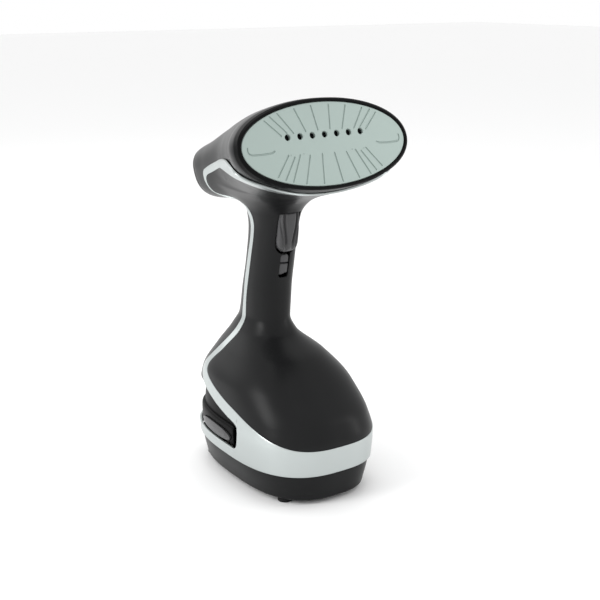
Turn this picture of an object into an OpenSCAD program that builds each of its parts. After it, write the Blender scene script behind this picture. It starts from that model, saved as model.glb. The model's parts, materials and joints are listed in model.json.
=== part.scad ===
// Handheld garment steamer: an oval steam head on a slim grip, standing on a wide base
// that holds a pull-out water tank. Front is -Y, up is +Z, and the foot plane is z = 0.

/* [Head] */
// Width of the steam head across its front rim
head_w = 152.4; // [146:0.2:158]
// Height of the steam head across its front rim
head_h = 66.4; // [62:0.2:70]
// Width of the metal steam plate
plate_w = 146; // [138:1:147]
// Height of the metal steam plate
plate_h = 61.4; // [56:0.2:61.6]
// Backward lean of the steam plate in degrees
plate_tilt = 18.5; // [16:0.5:21]
// Number of steam holes in the plate
hole_count = 7; // [3:2:7]
// Distance between neighbouring steam holes
hole_pitch = 10.9; // [8:0.1:12]
// Radius of a steam hole
hole_r = 2.3; // [1.5:0.1:3]

/* [Handle] */
// Width of the grip at its slimmest
grip_w = 31.6; // [30:0.2:33]
// Wall thickness of the moulded shells
wall = 2.4; // [2:0.1:2.6]
// Width of the trigger
trigger_w = 18.8; // [16:0.4:20.4]
// Degrees that the trigger turns when it is squeezed
trigger_turn = 7; // [4:1:8]

/* [Base] */
// Width of the base at the top of the silver band
base_w = 103; // [98:0.2:106]
// Height of the rubber feet
foot_h = 3.2; // [2:0.2:3.2]
// Radius of a foot
foot_r = 5.6; // [4:0.2:6]
// Height of the silver band's lower edge
band_bottom = 25.4; // [25:0.2:26]

/* [Hidden] */
$fn = 48;

black = "#2b2d2e";
dark = "#3a3c3d";
grey = "#6b6e70";
silver = "#cdd3d2";
metal = "#b4beb9";

// Smallest gap between moulded pieces that are built up against each other
seam = 0.1;
// Gap round a piece that moves inside an opening
slack = 0.4;

// Rows of the body's outline: height, front y, rear y, half width, squareness
base_half = base_w / 2;
grip_half = grip_w / 2;
body_rows = [
    [foot_h, -83, 72, base_half * 0.86, 2.7],
    [band_bottom, -86, 74, base_half * 0.97, 2.7],
    [46, -87, 74.2, base_half, 2.7],
    [60, -83, 73.4, base_half * 0.975, 2.65],
    [80, -64, 66.6, base_half * 0.924, 2.6],
    [100, -41.3, 54.2, 34.8, 2.5],
    [115, -14.5, 44.4, 20.5, 2.4],
    [128, -8.2, 35.8, grip_half - 0.4, 2.45],
    [150, -9, 29.6, grip_half + 0.3, 2.5],
    [175, -13, 23.6, grip_half, 2.5],
    [200, -19.5, 20.6, grip_half - 0.4, 2.5],
    [213, -22, 21.5, grip_half + 2.1, 2.45],
    [224, -31, 30, 24.5, 2.3],
    [234, -46.5, 44, 32, 2.2],
    [240, -58, 58, 40, 2.2]];
// How much wider the base is at the front than at the back, and where that fades out
front_flare = 0.12;
flare_top = 128;
flare_fade = 80;

// Rows of the head's outline: distance behind the plate, centre height, half width,
// half height, squareness
plate_y = -67;
plate_z = 272.5;
head_rows = [
    [0, plate_z, head_w / 2, head_h / 2, 2.06],
    [6, 270.8, head_w / 2 + 0.5, head_h / 2 + 1.5, 2.06],
    [30, 265, 65, 34.5, 2.1],
    [60, 257.8, 49.5, 32, 2.2],
    [90, 249.6, 36, 28.5, 2.3],
    [120, 240.8, 31, 25.2, 2.4],
    [141, 235.2, 27, 22.4, 2.5],
    [148, 233.9, 20, 16.4, 2.5]];
// Extra lean of the head's sections for each millimetre behind the plate
head_lean = 0.04;
head_end = 148;
cap_start = 138;
rim_depth = 4.5;

// Side outline of the front shell, as y and z: up the edge that meets the silver trim,
// round the wing on the head's flank and back down the front
shell_edge = [
    [-95, 45.3], [-87, 45.5], [-78.5, 47], [-69, 49.4], [-55.5, 53.4], [-38.5, 58.9], [-22, 64.1],
    [-3.5, 68.9], [15.5, 75.1], [28, 80.3], [32.6, 84], [32.5, 88], [29, 93], [22.8, 100.2],
    [19.6, 107.3], [17.7, 114], [16.6, 121], [16.1, 130], [14.6, 143], [11.5, 158.4], [7.5, 178],
    [4.3, 193.5], [3.3, 204], [4.6, 211.5], [9.5, 217.3], [18, 221.2], [32, 223.8], [41, 225.4],
    [43.6, 229.3], [44.2, 233.4]];
wing_edge = [
    [42.3, 238], [29, 243.5], [9, 249.6], [-1, 250.7], [-20, 250.5], [-35.5, 249.4], [-45, 247.9],
    [-54, 246.8], [-59.5, 243.5], [-62.2, 239.5], [-62.5, 236.5], [-62.3, 232]];
// Side outline of the silver trim: the window for the tank, the ribbon up the grip and the
// loop round the wing
window_low = 34;
window_edge = [
    [-19.8, window_low], [-22.9, 35.6], [-24.7, 38.4], [-26.1, 46], [-25.9, 51.3], [-22.7, 54.2],
    [-8.4, 57.6], [5, 61.1], [17.3, 65.1], [31.6, 70.2], [40.6, 74.7], [44.4, 78.8], [44.7, 84],
    [38, 92], [28.5, 103.9], [24.8, 112.9], [21.9, 121.5], [21.1, 131], [18.4, 146], [16.4, 160],
    [12.6, 177.3], [8.9, 193.2], [8.1, 203.3], [9.2, 209.3], [15, 215], [25, 219], [33, 221.5],
    [38.5, 223.6], [45, 226.3], [47.6, 231.9]];
loop_edge = [
    [48.6, 237.7], [47.4, 241.5], [41.6, 244.8], [23.4, 251.3], [-3.5, 257.9], [-23, 260.6],
    [-30, 260.9], [-38, 260], [-53, 257], [-59.5, 253.4], [-65.7, 249.9], [-69.2, 247],
    [-70.5, 242.8], [-69.2, 238.4], [-69, 235]];
neck_top = 229.5;
rear_low = 72;

// The trigger turns about this point
pivot_y = -10;
pivot_z = 210;
pin_r = 1.5;
running = 0.05;
// The lock slides along a line that leans with the front of the grip
lock_y = -12.1;
lock_z = 173;
lock_lean = 10.9;

// The tank and the piece of it that shows in the window
tank_low = 34.4;
ledge_top = 50;
ledge_inset = 0.7;
ledge_front = -16.5;
tank_inset = 3.2;
bay_inset = 5;
tank_front = -62;
tank_top = 71.2;
flap_y = 72;
flap_pin_z = 53;
flap_low = 55.6;
filler_z = 62.5;
filler_r = 6.5;
// Outline of a latch as seen from the side
latch_face = [[-12.5, 39.2], [-9, 42], [0, 43.9], [14, 44.4], [28, 43.8], [37, 42],
    [40.8, 39.6], [38, 37], [28, 35.6], [14, 35.2], [0, 35.8], [-9, 37]];
latch_y = 14;
latch_z = 40;

pump_z = 14.8;
foot_places = [[-33, -60], [33, -60], [-25, 54], [25, 54]];
screw_places = [[-31, -36], [31, -36], [-29, 34], [29, 34]];

// Routes of the hoses and of the wires inside the shells
steam_route = [[0, 24.1, pump_z], [0, 32, 14.8], [-7, 39, 14.6], [-16, 36, 14.2], [-19, 24, 14],
    [-19, -10, 14], [-18, -50, 14], [-14, -68, 18], [-10, -75, 30], [-9, -73, 46],
    [-8, -64, 62], [-7, -46, 80], [-5, -24, 100], [-2, -4, 116], [0, 8, 130], [0, 15, 150],
    [0, 15.5, 175], [0, 15.5, 197], [0, 14, 211], [0, 5, 225], [0, -11, 238.5], [0, -25, 249],
    [0, -33.5, 255.4], [0, -39.6, 257.8]];
wire_route = [[18, 43.6, 13], [19, 34, 12], [21, 10, 12], [21, -40, 12], [18, -66, 17],
    [15, -74, 30], [13, -71, 46], [12, -62, 62], [10, -44, 81], [8, -22, 101], [6, -3, 117],
    [6, 9, 131], [6, 14.5, 150], [6, 15, 175], [6, 14, 197], [6, 11, 212], [6, 11, 225],
    [6, 20, 236], [6, 36, 241], [6, 58, 243]];
suction_route = [[0, -74, 33.5], [0, -76.5, 26], [0, -73, 18], [0, -65, pump_z],
    [0, -57, pump_z]];

// ---- curves ----

// Slope of column k between rows i and i + 1
function slope(rows, k, i) = (rows[i + 1][k] - rows[i][k]) / (rows[i + 1][0] - rows[i][0]);

// Slope of column k at row i, kept flat at a high or low point
function bend(rows, k, i) =
    let (last = len(rows) - 1)
    i == 0 ? slope(rows, k, 0)
    : i == last ? slope(rows, k, last - 1)
    : let (a = slope(rows, k, i - 1), b = slope(rows, k, i))
      a * b <= 0 ? 0 : 2 * a * b / (a + b);

function span_of(rows, x, i = 0) =
    i >= len(rows) - 2 || x < rows[i + 1][0] ? i : span_of(rows, x, i + 1);

// Smooth value of column k at x
function value_at(rows, k, x) =
    let (
        i = span_of(rows, x),
        h = rows[i + 1][0] - rows[i][0],
        u = (x - rows[i][0]) / h,
        rise = rows[i + 1][k] - rows[i][k],
        a = bend(rows, k, i) * h,
        b = bend(rows, k, i + 1) * h)
    rows[i][k] + u * (a + u * (3 * rise - 2 * a - b + u * (a + b - 2 * rise)));

function signed_pow(v, p) = sign(v) * pow(abs(v), p);

// Point of a rounded outline at angle a, in units of its half width and half depth
function round_x(a, n) = signed_pow(cos(a), 2 / n);
function round_y(a, n) = signed_pow(sin(a), 2 / n);

// Smooth curve through a list of points, with some steps between each two
function smooth(p, steps = 1) =
    let (last = len(p) - 1)
    [for (i = [0 : last - 1], j = [0 : steps - 1])
        let (
            u = j / steps,
            p0 = p[max(i - 1, 0)],
            p1 = p[i],
            p2 = p[i + 1],
            p3 = p[min(i + 2, last)])
        0.5 * (2 * p1 + u * (p2 - p0) + u * u * (2 * p0 - 5 * p1 + 4 * p2 - p3)
            + u * u * u * (3 * p1 - p0 - 3 * p2 + p3)),
     p[last]];

// ---- outlines of the body and of the head ----

ring_steps = 32;
body_step = 8;
head_step = 12;

// Stations from a to b: both ends, and every multiple of step that lies between them
function stations(a, b, step) =
    [a, for (k = [ceil(a / step + 0.1) : floor(b / step - 0.1)]) k * step, b];

// Ring of the body at height z, grown outwards by grow
function body_ring(z, grow) =
    let (
        front = value_at(body_rows, 1, z) - grow,
        rear = value_at(body_rows, 2, z) + grow,
        half = value_at(body_rows, 3, z) + grow,
        n = value_at(body_rows, 4, z),
        flare = front_flare * min(max((flare_top - z) / flare_fade, 0), 1))
    [for (i = [0 : ring_steps - 1])
        let (a = 360 * i / ring_steps, v = round_y(a, n))
        [half * round_x(a, n) * (1 - flare * v), (front + rear) / 2 + v * (rear - front) / 2, z]];

// Ring of the head at distance s behind the plate, grown outwards by grow
function head_ring(s, grow) =
    let (
        mid = value_at(head_rows, 1, s),
        half = value_at(head_rows, 2, s) + grow,
        tall = value_at(head_rows, 3, s) + grow,
        n = value_at(head_rows, 4, s),
        lean = plate_tilt + head_lean * s)
    [for (i = [0 : ring_steps - 1])
        let (a = 360 * i / ring_steps, v = tall * round_y(a, n))
        [half * round_x(a, n), plate_y + s + v * sin(lean), mid + v * cos(lean)]];

// Closed solid through a stack of rings
module skin(rings) {
    m = len(rings[0]);
    top = (len(rings) - 1) * m;
    sides = [for (k = [0 : len(rings) - 2], i = [0 : m - 1])
        let (j = (i + 1) % m, a = k * m + i, b = k * m + j)
        each [[a, a + m, b + m], [a, b + m, b]]];
    caps = [[for (i = [0 : m - 1]) i], [for (i = [m - 1 : -1 : 0]) top + i]];
    polyhedron([for (r = rings) each r], concat(sides, caps), convexity = 6);
}

module body_solid(z0, z1, grow = 0) {
    skin([for (z = stations(z0, z1, body_step)) body_ring(z, grow)]);
}

// The rings run from back to front, so that the solid's faces point outwards
module head_solid(s0, s1, grow = 0) {
    skin([for (s = stations(-s1, -s0, head_step)) head_ring(-s, grow)]);
}

// Wall between two offsets of the body's surface
module body_wall(z0, z1, outer, inner) {
    difference() {
        body_solid(z0, z1, outer);
        body_solid(z0 - 0.5, z1 + 0.5, inner);
    }
}

module head_wall(s0, s1, outer, inner) {
    difference() {
        head_solid(s0, s1, outer);
        head_solid(s0 - 0.5, s1 + 0.5, inner);
    }
}

// Side outline, drawn as y and z, made into a block across the object
module across(x0, x1) {
    translate([x0, 0, 0]) rotate([90, 0, 90]) linear_extrude(x1 - x0) children();
}

// Front outline, drawn as x and z, made into a block from y0 to y1
module along(y0, y1) {
    translate([0, y1, 0]) rotate([90, 0, 0]) linear_extrude(y1 - y0) children();
}

module block(x, y, z) {
    translate([x[0], y[0], z[0]]) cube([x[1] - x[0], y[1] - y[0], z[1] - z[0]]);
}

module both_sides() {
    children();
    mirror([1, 0, 0]) children();
}

// Joins what makes up one moulded shell into one mesh
module moulded() {
    resize([0, 0, 0]) children();
}

module ellipse(rx, ry, steps = 72) {
    polygon([for (i = [0 : steps - 1]) [rx * cos(360 * i / steps), ry * sin(360 * i / steps)]]);
}

// Frame of the steam plate: x across, y up the plate, z out of its face
module at_plate() {
    translate([0, plate_y, plate_z]) rotate([90 - plate_tilt, 0, 0]) children();
}

// Frame of the head's rear face: x across, y down the face, z out of it
rear_lean = plate_tilt + head_lean * head_end;
module at_rear() {
    translate([0, plate_y + head_end, head_rows[7][1]])
        rotate([-90 - rear_lean, 0, 0]) children();
}

module at_lock() {
    translate([0, lock_y, lock_z]) rotate([lock_lean, 0, 0]) children();
}

module front_face() {
    polygon(concat(smooth(shell_edge), wing_edge, [[-62, neck_top], [-95, neck_top]]));
}

module trim_face() {
    polygon(concat([[-95, band_bottom], [95, band_bottom], [95, window_low]],
        smooth(window_edge), loop_edge, [[-69, neck_top], [-95, neck_top]]));
}

module silver_face() {
    offset(delta = -seam) difference() {
        trim_face();
        front_face();
    }
}

// The ledge inside the front shell that backs the silver trim
module backing_face() {
    intersection() {
        offset(delta = 1.5) silver_face();
        union() {
            front_face();
            silver_face();
        }
    }
}

// Round tube of radius r along a route
tube_sides = 6;
module tube(route, r) {
    p = smooth(route, 2);
    last = len(p) - 1;
    aside = [1, 0, 1];
    skin([for (i = [0 : last])
        let (
            t = p[min(i + 1, last)] - p[max(i - 1, 0)],
            u = cross(t, aside) / norm(cross(t, aside)),
            v = cross(t, u) / norm(cross(t, u)))
        [for (k = [0 : tube_sides - 1])
            p[i] + r * (u * cos(360 * k / tube_sides) + v * sin(360 * k / tube_sides))]]);
}

// Coil spring along +Z, as closed turns
module coil(r, wire, length, turns) {
    for (i = [0 : turns - 1])
        translate([0, 0, wire + (length - 2 * wire) * i / (turns - 1)])
            rotate_extrude($fn = 32) translate([r, 0]) circle(wire, $fn = 16);
}

// ---- head ----

module neck_hole() {
    translate([0, -2, 221]) linear_extrude(28) ellipse(12, 22, 40);
}

module head_housing() color(dark) moulded() difference() {
    head_wall(rim_depth, cap_start - seam, 0, -wall);
    neck_hole();
}

module bezel_ring() color(black) moulded() difference() {
    head_solid(-0.6, rim_depth - seam, 0);
    at_plate() translate([0, 0, -12]) linear_extrude(20)
        ellipse(plate_w / 2 + 0.2, plate_h / 2 + 0.2);
}

plate_t = 3;
hole_rise = 6.7;
groove_w = 0.6;
groove_d = 0.3;

module plate_groove(from, to) {
    d = to - from;
    translate([from[0], from[1], -groove_d]) rotate(atan2(d[1], d[0]))
        translate([0, -groove_w / 2, 0]) cube([norm(d), groove_w, 1]);
}

// Fan of fine grooves above and below the row of steam holes
fan_count = 9;
module steam_plate() color(metal) at_plate() difference() {
    translate([0, 0, -plate_t]) linear_extrude(plate_t) ellipse(plate_w / 2, plate_h / 2);
    for (i = [0 : hole_count - 1])
        translate([(i - (hole_count - 1) / 2) * hole_pitch, hole_rise, -plate_t - 1])
            cylinder(r = hole_r, h = plate_t + 2);
    for (i = [0 : fan_count - 1]) {
        t = i - (fan_count - 1) / 2;
        plate_groove([t * 9.5, 12], [t * 13.5, 27 - 0.55 * t * t]);
        plate_groove([t * 10.5, -8], [t * 13, -27 + 0.5 * t * t]);
    }
}

boiler_rx = 58;
boiler_ry = 24;
chamber_rx = 53;
chamber_ry = 19.5;
gasket_t = 1;
boiler_t = 15;
boiler_back = -plate_t - gasket_t - boiler_t;

module plate_gasket() color("#8c4a3a") at_plate() translate([0, 0, -plate_t - gasket_t])
    linear_extrude(gasket_t) difference() {
        ellipse(boiler_rx, boiler_ry);
        ellipse(chamber_rx, chamber_ry);
    }

inlet_x = 0;
inlet_y = -5;
module boiler_body() color("#a9acad") at_plate() difference() {
    translate([0, 0, boiler_back]) linear_extrude(boiler_t) ellipse(boiler_rx, boiler_ry);
    translate([0, 0, boiler_back + 8]) linear_extrude(boiler_t) ellipse(chamber_rx, chamber_ry);
    translate([inlet_x, inlet_y, boiler_back - 1]) cylinder(r = 1.6, h = boiler_t);
}

element_r = 3.2;
element_ry = 15;
element_x = 30;
module heating_element() color("#77797a") at_plate()
    translate([0, 0, boiler_back - element_r - seam]) {
        for (s = [-1, 1])
            translate([-element_x, s * element_ry, 0]) rotate([0, 90, 0])
                cylinder(r = element_r, h = 2 * element_x);
        translate([element_x, 0, 0]) rotate([0, 0, -90]) rotate_extrude(angle = 180)
            translate([element_ry, 0]) circle(element_r);
    }

module thermostat() color("#c9c5bd") at_plate() translate([-18, 2, boiler_back - 6 - seam]) {
    cylinder(r = 7, h = 6);
    translate([-9, -2.5, 5]) cube([18, 5, 1]);
}

module thermal_fuse() color("#d8d2c4") at_plate()
    translate([14, 4, boiler_back - 2.6]) rotate([0, 90, 0]) cylinder(r = 2.4, h = 12);

module boiler_inlet() color("#b98b3d") at_plate()
    translate([inlet_x, inlet_y, boiler_back - 11]) difference() {
        union() {
            cylinder(r = 2, h = 11 - seam);
            translate([0, 0, 8]) cylinder(r = 4, h = 3 - seam, $fn = 6);
        }
        translate([0, 0, -1]) cylinder(r = 1.2, h = 13);
    }

module heat_shield() color("#9a9d9e") at_plate() translate([0, 0, -34]) linear_extrude(0.8)
    difference() {
        ellipse(52, 27);
        ellipse(20, 14);
    }

// ---- controls on the rear of the head ----

button_r = 5.5;
button_x = 8.5;
button_y = 2;
button_out = 1.2;
lens_y = -9.5;

module end_cap() color(black) moulded() difference() {
    head_solid(cap_start, head_end);
    head_solid(cap_start - 1, head_end - 2.7, -2.3);
    at_rear() {
        for (s = [-1, 1]) translate([s * button_x, button_y, -8]) cylinder(r = button_r + slack, h = 12);
        translate([0, lens_y, -8]) cylinder(r = 1.9, h = 12);
    }
}

module push_button(x) {
    at_rear() translate([x, button_y, 0]) {
        translate([0, 0, -4]) cylinder(r = button_r, h = 4 + button_out);
        translate([0, 0, -4.2]) cylinder(r = button_r + 1.2, h = 1);
    }
}

module power_button() color(grey) push_button(-button_x);

module steam_button() color(grey) push_button(button_x);

module indicator_lens() color("#4aa6d8") at_rear() translate([0, lens_y, -4])
    cylinder(r = 1.6, h = 4.3);

module control_board() color("#2f6b45") at_rear() translate([0, 0, -14]) {
    block([-16, 16], [-11, 11], [0, 1.6]);
    for (s = [-1, 1]) block([s * button_x - 3, s * button_x + 3], [button_y - 3, button_y + 3], [1.6, 7]);
    block([-3, 3], [lens_y - 1, lens_y + 1.5], [1.6, 8]);
}

// ---- handle ----

trigger_half = trigger_w / 2;
// How far the trigger's toe drops as it is squeezed
toe_drop = 8 * sin(trigger_turn);

// Outline of the trigger from the front, rounded to a blunt point at its lower end
module trigger_front() {
    polygon([[-trigger_half, 214.5], [-trigger_half, 193], [-trigger_half * 0.94, 189.8],
        [-trigger_half * 0.72, 186.9], [-trigger_half * 0.42, 184.5], [-trigger_half * 0.16, 183.2],
        [trigger_half * 0.16, 183.2], [trigger_half * 0.42, 184.5], [trigger_half * 0.72, 186.9],
        [trigger_half * 0.94, 189.8], [trigger_half, 193], [trigger_half, 214.5]]);
}

module lock_slot() {
    at_lock() block([-4 - slack, 4 + slack], [-6, 4], [-12.6, 9.4]);
}

module front_shell() color(black) moulded() difference() {
    union() {
        intersection() {
            body_wall(42, 238, 0, -wall);
            across(-60, 60) front_face();
        }
        difference() {
            intersection() {
                body_wall(window_low - 1.6, 216, -2.1, -4.1);
                across(-60, 60) backing_face();
            }
            block([-80, 80], [-18, 120], [20, window_low + 2]);
        }
        intersection() {
            head_wall(rim_depth, head_end - 4, 0.7, seam / 2);
            across(-80, 80) front_face();
        }
    }
    head_solid(0, head_end, seam / 2);
    neck_hole();
    for (drop = [0, toe_drop])
        along(-60, 0) translate([0, -drop]) offset(delta = slack) trigger_front();
    lock_slot();
}

module rear_shell() color(dark) moulded() difference() {
    intersection() {
        body_wall(rear_low, 236, 0, -wall);
        across(-40, 40) offset(delta = -seam) difference() {
            polygon([[0, rear_low], [95, rear_low], [95, 236], [0, 236]]);
            trim_face();
        }
    }
    head_solid(0, head_end, seam);
}

// Band round the base, ribbons up the grip and the loops on the head's flanks
trim_out = 0.35;
module silver_trim() color(silver) moulded() {
    difference() {
        intersection() {
            body_wall(band_bottom, 238, trim_out, -1.8);
            across(-60, 60) silver_face();
        }
        head_solid(0, head_end, seam);
    }
    intersection() {
        head_wall(rim_depth + 1, head_end - 2, 1, seam);
        across(-80, 80) intersection() {
            silver_face();
            polygon([[-95, 214], [95, 214], [95, 270], [-95, 270]]);
        }
    }
}

ear_x = 7.6;
ear_t = 2;
plate_back = 6;
module switch_bracket() color(grey) {
    block([-ear_x - ear_t, ear_x + ear_t], [plate_back, plate_back + 2], [184, 214]);
    for (s = [-1, 1]) difference() {
        block(s < 0 ? [-ear_x - ear_t, -ear_x] : [ear_x, ear_x + ear_t],
            [pivot_y - 3.4, plate_back], [205, 214]);
        translate([-20, pivot_y, pivot_z]) rotate([0, 90, 0]) cylinder(r = pin_r + 0.01, h = 40);
    }
}

module microswitch() color("#1f2a33") {
    block([0.8, 7.2], [-4, plate_back - seam], [184.5, 204]);
    block([3, 5], [-5.6, -4], [192, 194]);
}

module trigger_pin() color("#c8cacb")
    translate([-ear_x - ear_t, pivot_y, pivot_z]) rotate([0, 90, 0])
        cylinder(r = pin_r, h = 2 * (ear_x + ear_t));

// Side outline of the trigger: near upright face, thick toe, lugs that reach the pin
trigger_side = [[-24.2, 214.5], [-23.4, 205], [-22.6, 198], [-21.6, 191], [-20.2, 186],
    [-18, 182.8], [-15, 182.5], [-12.5, 184.5], [-12.5, 203], [-7, 206.5], [-6.6, 211],
    [-9, 213.6], [-14, 214.5]];
face_r = 17;
flute_x = 8;
flute_r = 3.6;

module trigger() color(grey) difference() {
    intersection() {
        across(-trigger_half, trigger_half) polygon(trigger_side);
        along(-40, 0) trigger_front();
        translate([0, face_r - 23.8, 180]) cylinder(r = face_r, h = 40);
    }
    // clearance beside the lugs for the bracket's ears
    for (s = [-1, 1])
        block(s < 0 ? [-12, -ear_x + slack] : [ear_x - slack, 12], [-14, 0], [203, 216]);
    // one long flute down each side of the face
    for (s = [-1, 1])
        translate([s * flute_x, -23.2, 180]) rotate([-4, 0, 0]) cylinder(r = flute_r, h = 28);
    translate([-20, pivot_y, pivot_z]) rotate([0, 90, 0]) cylinder(r = pin_r + running, h = 40);
}

spring_x = -4.5;
spring_z = 190;
module trigger_spring() color("#c8cacb")
    translate([spring_x, -12.4, spring_z]) rotate([-90, 0, 0]) coil(2, 0.35, plate_back + 12.3, 9);

module trigger_lock() color(grey) at_lock() {
    difference() {
        block([-4, 4], [-1.3, 4], [-9.2, 7.6]);
        translate([-6, -3, 0]) cube([12, 2.4, 1.6]);
        translate([0, -7.2, -6.6]) rotate([0, 90, 0]) cylinder(r = 6.4, h = 6, center = true);
    }
    block([-5.2, 5.2], [4, 5], [-11, 9]);
}

module steam_hose() color("#d9d6cf") tube(steam_route, 2.2);

module wire_harness() color("#5c2f2f") tube(wire_route, 1.7);

// ---- base ----

base_floor = 2.4;
skirt_top = 32.2;
gland_z = 14;
gland_r = 7;
boss_r = 5;
screw_r = 1.5;

module at_gland() {
    translate([0, 0, gland_z]) rotate([-90, 0, 0]) children();
}

module lower_base() color(black) moulded() difference() {
    union() {
        difference() {
            body_solid(foot_h, band_bottom - seam);
            body_solid(foot_h + base_floor, band_bottom + 1, -wall);
        }
        body_wall(band_bottom - 4, skirt_top, -2.1, -4.1);
        for (p = screw_places) translate([p[0], p[1], foot_h + 1]) cylinder(r = boss_r, h = 12, $fn = 24);
        for (y = [-47, 15]) block([-7, 7], [y - 2, y + 2], [foot_h + 1, 6.6]);
    }
    at_gland() cylinder(r = gland_r + seam, h = 90, $fn = 40);
    for (p = screw_places) {
        translate([p[0], p[1], foot_h - 1]) cylinder(r = 3.4, h = 3, $fn = 24);
        translate([p[0], p[1], foot_h]) cylinder(r = screw_r + seam, h = 20, $fn = 24);
    }
}

module base_feet() color("#1c1d1e") for (p = foot_places)
    translate([p[0], p[1], 0]) {
        cylinder(r1 = foot_r - 0.6, r2 = foot_r, h = 0.8);
        translate([0, 0, 0.8]) cylinder(r = foot_r, h = foot_h - 0.8);
    }

module base_screws() color("#b8babb") for (p = screw_places)
    translate([p[0], p[1], foot_h + 0.6]) difference() {
        union() {
            cylinder(r = 3, h = 1.4);
            cylinder(r = screw_r, h = 11);
        }
        translate([-2.2, -0.35, -1]) cube([4.4, 0.7, 1.7]);
        translate([-0.35, -2.2, -1]) cube([0.7, 4.4, 1.7]);
    }

tray_t = 1.6;
tray_top = tank_low - slack;
module tank_tray() color(dark) moulded() difference() {
    body_solid(tray_top - tray_t, tray_top, -4.4);
    for (p = [[-10, -74.8], [14.2, -73.6], [0, -74.3]])
        translate([p[0], p[1], 20]) cylinder(r = 3.4, h = 20, $fn = 24);
}

module pump_coil() color("#3b5f8a") difference() {
    block([-11, 11], [-29, -5], [foot_h + base_floor + 0.3, 25.6]);
    translate([0, -40, pump_z]) rotate([-90, 0, 0]) cylinder(r = 6.1, h = 50);
}

module pump_body() color("#d7d7d2") translate([0, 0, pump_z]) {
    translate([0, -50, 0]) rotate([-90, 0, 0]) cylinder(r = 6, h = 68);
    translate([0, -56.8, 0]) rotate([-90, 0, 0]) cylinder(r = 1.4, h = 7.3);
    translate([0, 17.5, 0]) rotate([-90, 0, 0]) cylinder(r = 1.4, h = 6.4);
}

module pump_mounts() color("#202122") for (y = [-47, 15])
    difference() {
        block([-9, 9], [y - 2.4, y + 2.4], [6.7, 24]);
        translate([0, y - 5, pump_z]) rotate([-90, 0, 0]) cylinder(r = 6.05, h = 10);
    }

module suction_hose() color("#d9d6cf") tube(suction_route, 2.2);

valve_z = 40.5;
module at_valve(y) {
    translate([0, y, valve_z]) rotate([-90, 0, 0]) children();
}

module dock_port() color(grey) difference() {
    block([-5.5, 5.5], [-78, -68.5], [tray_top + 0.1, 47]);
    at_valve(-76) cylinder(r = 3.4, h = 20);
    translate([0, -74, 30]) cylinder(r = 2.3, h = 10);
}

module terminal_block() color("#e2dccb") {
    block([-14, 14], [44, 56], [foot_h + base_floor + 0.1, 16]);
    for (x = [-9, 0, 9]) translate([x, 50, 15]) cylinder(r = 2.4, h = 2);
}

cord_r = 3.6;
gland_in = 64;
gland_out = 80;
module cord_gland() color(black) at_gland() difference() {
    union() {
        translate([0, 0, gland_in]) cylinder(r = gland_r, h = gland_out - gland_in - 1);
        translate([0, 0, gland_out - 1]) cylinder(r1 = gland_r, r2 = gland_r - 1, h = 1);
    }
    translate([0, 0, gland_in - 1]) cylinder(r = cord_r, h = gland_out - gland_in + 2);
}

// ---- water tank ----

// Side outline of the tank, which clears the window's upper edge as it slides out
module tank_side() {
    polygon([[tank_front, tank_low], [tank_front, 46.5], [-27, 51], [-18, 53.2], [1, 57.6],
        [17, 61.1], [33, 66.5], [42, tank_top], [95, tank_top], [95, tank_low]]);
}

module behind(y) {
    block([-80, 80], [y, 120], [20, 90]);
}

module latch_outline(grow) {
    offset(delta = grow) polygon(smooth(latch_face, 2));
}

module latch_pocket() both_sides() difference() {
    across(-70, -20) latch_outline(slack);
    body_solid(30, 52, -5.7);
}

module tank_outer() {
    intersection() {
        union() {
            body_solid(tank_low, tank_top + 1, -bay_inset);
            intersection() {
                body_solid(tank_low, tank_top + 1, -tank_inset);
                behind(ledge_front);
            }
            intersection() {
                union() {
                    body_solid(tank_low, ledge_top - 1.4, -ledge_inset);
                    body_solid(ledge_top - 1.5, ledge_top, -ledge_inset - 0.9);
                }
                behind(ledge_front);
            }
            block([-17, 17], [60, flap_y - 1.1], [ledge_top - 1, 70]);
        }
        across(-80, 80) tank_side();
    }
}

// Ears that hold the flap's pin
module flap_ears() {
    for (s = [-1, 1]) {
        block([s * 10 - 2, s * 10 + 2], [68, flap_y], [ledge_top - 0.5, flap_pin_z + 2.2]);
        translate([s * 10 - 2, flap_y, flap_pin_z]) rotate([0, 90, 0]) cylinder(r = 2.2, h = 4);
    }
}

tank_wall = 2;
module tank_body() color("#26282a") moulded() difference() {
    union() {
        difference() {
            tank_outer();
            block([-20, 20], [flap_y - 1.1, 90], [ledge_top + 0.2, 90]);
        }
        flap_ears();
    }
    intersection() {
        body_solid(tank_low + tank_wall, 90, -bay_inset - tank_wall);
        across(-80, 80) offset(delta = -tank_wall) tank_side();
    }
    translate([0, 50, filler_z]) rotate([-90, 0, 0]) cylinder(r = filler_r, h = 40, $fn = 40);
    latch_pocket();
    block([-7.8, 7.8], [flap_y - 2.4, 90], [ledge_top + 0.2, flap_pin_z + 2.4]);
    at_valve(-70) cylinder(r = 5.2, h = 14, $fn = 32);
    translate([-20, flap_y, flap_pin_z]) rotate([0, 90, 0]) cylinder(r = 1.15, h = 40, $fn = 24);
}

module tank_valve() color(grey) at_valve(0) translate([0, 0, tank_front]) difference() {
    union() {
        translate([0, 0, -7.5]) cylinder(r = 3, h = 8);
        translate([0, 0, -1.6]) cylinder(r = 6, h = 1.5);
        cylinder(r = 5, h = 5);
    }
    translate([0, 0, -9]) cylinder(r = 1.5, h = 20);
}

module valve_seal() color("#a24232") at_valve(0) translate([0, 0, tank_front - 3.2])
    difference() {
        cylinder(r = 4.6, h = 1.5);
        translate([0, 0, -1]) cylinder(r = 3.02, h = 4);
    }

latch_out = 0.7;
latch_in = -2.5;

module latch(side) color(grey) moulded() mirror([side > 0 ? 1 : 0, 0, 0]) intersection() {
    body_wall(30, 52, latch_out, latch_in);
    across(-70, -20) latch_outline(0);
}

module latch_left() latch(-1);

module latch_right() latch(1);

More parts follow.
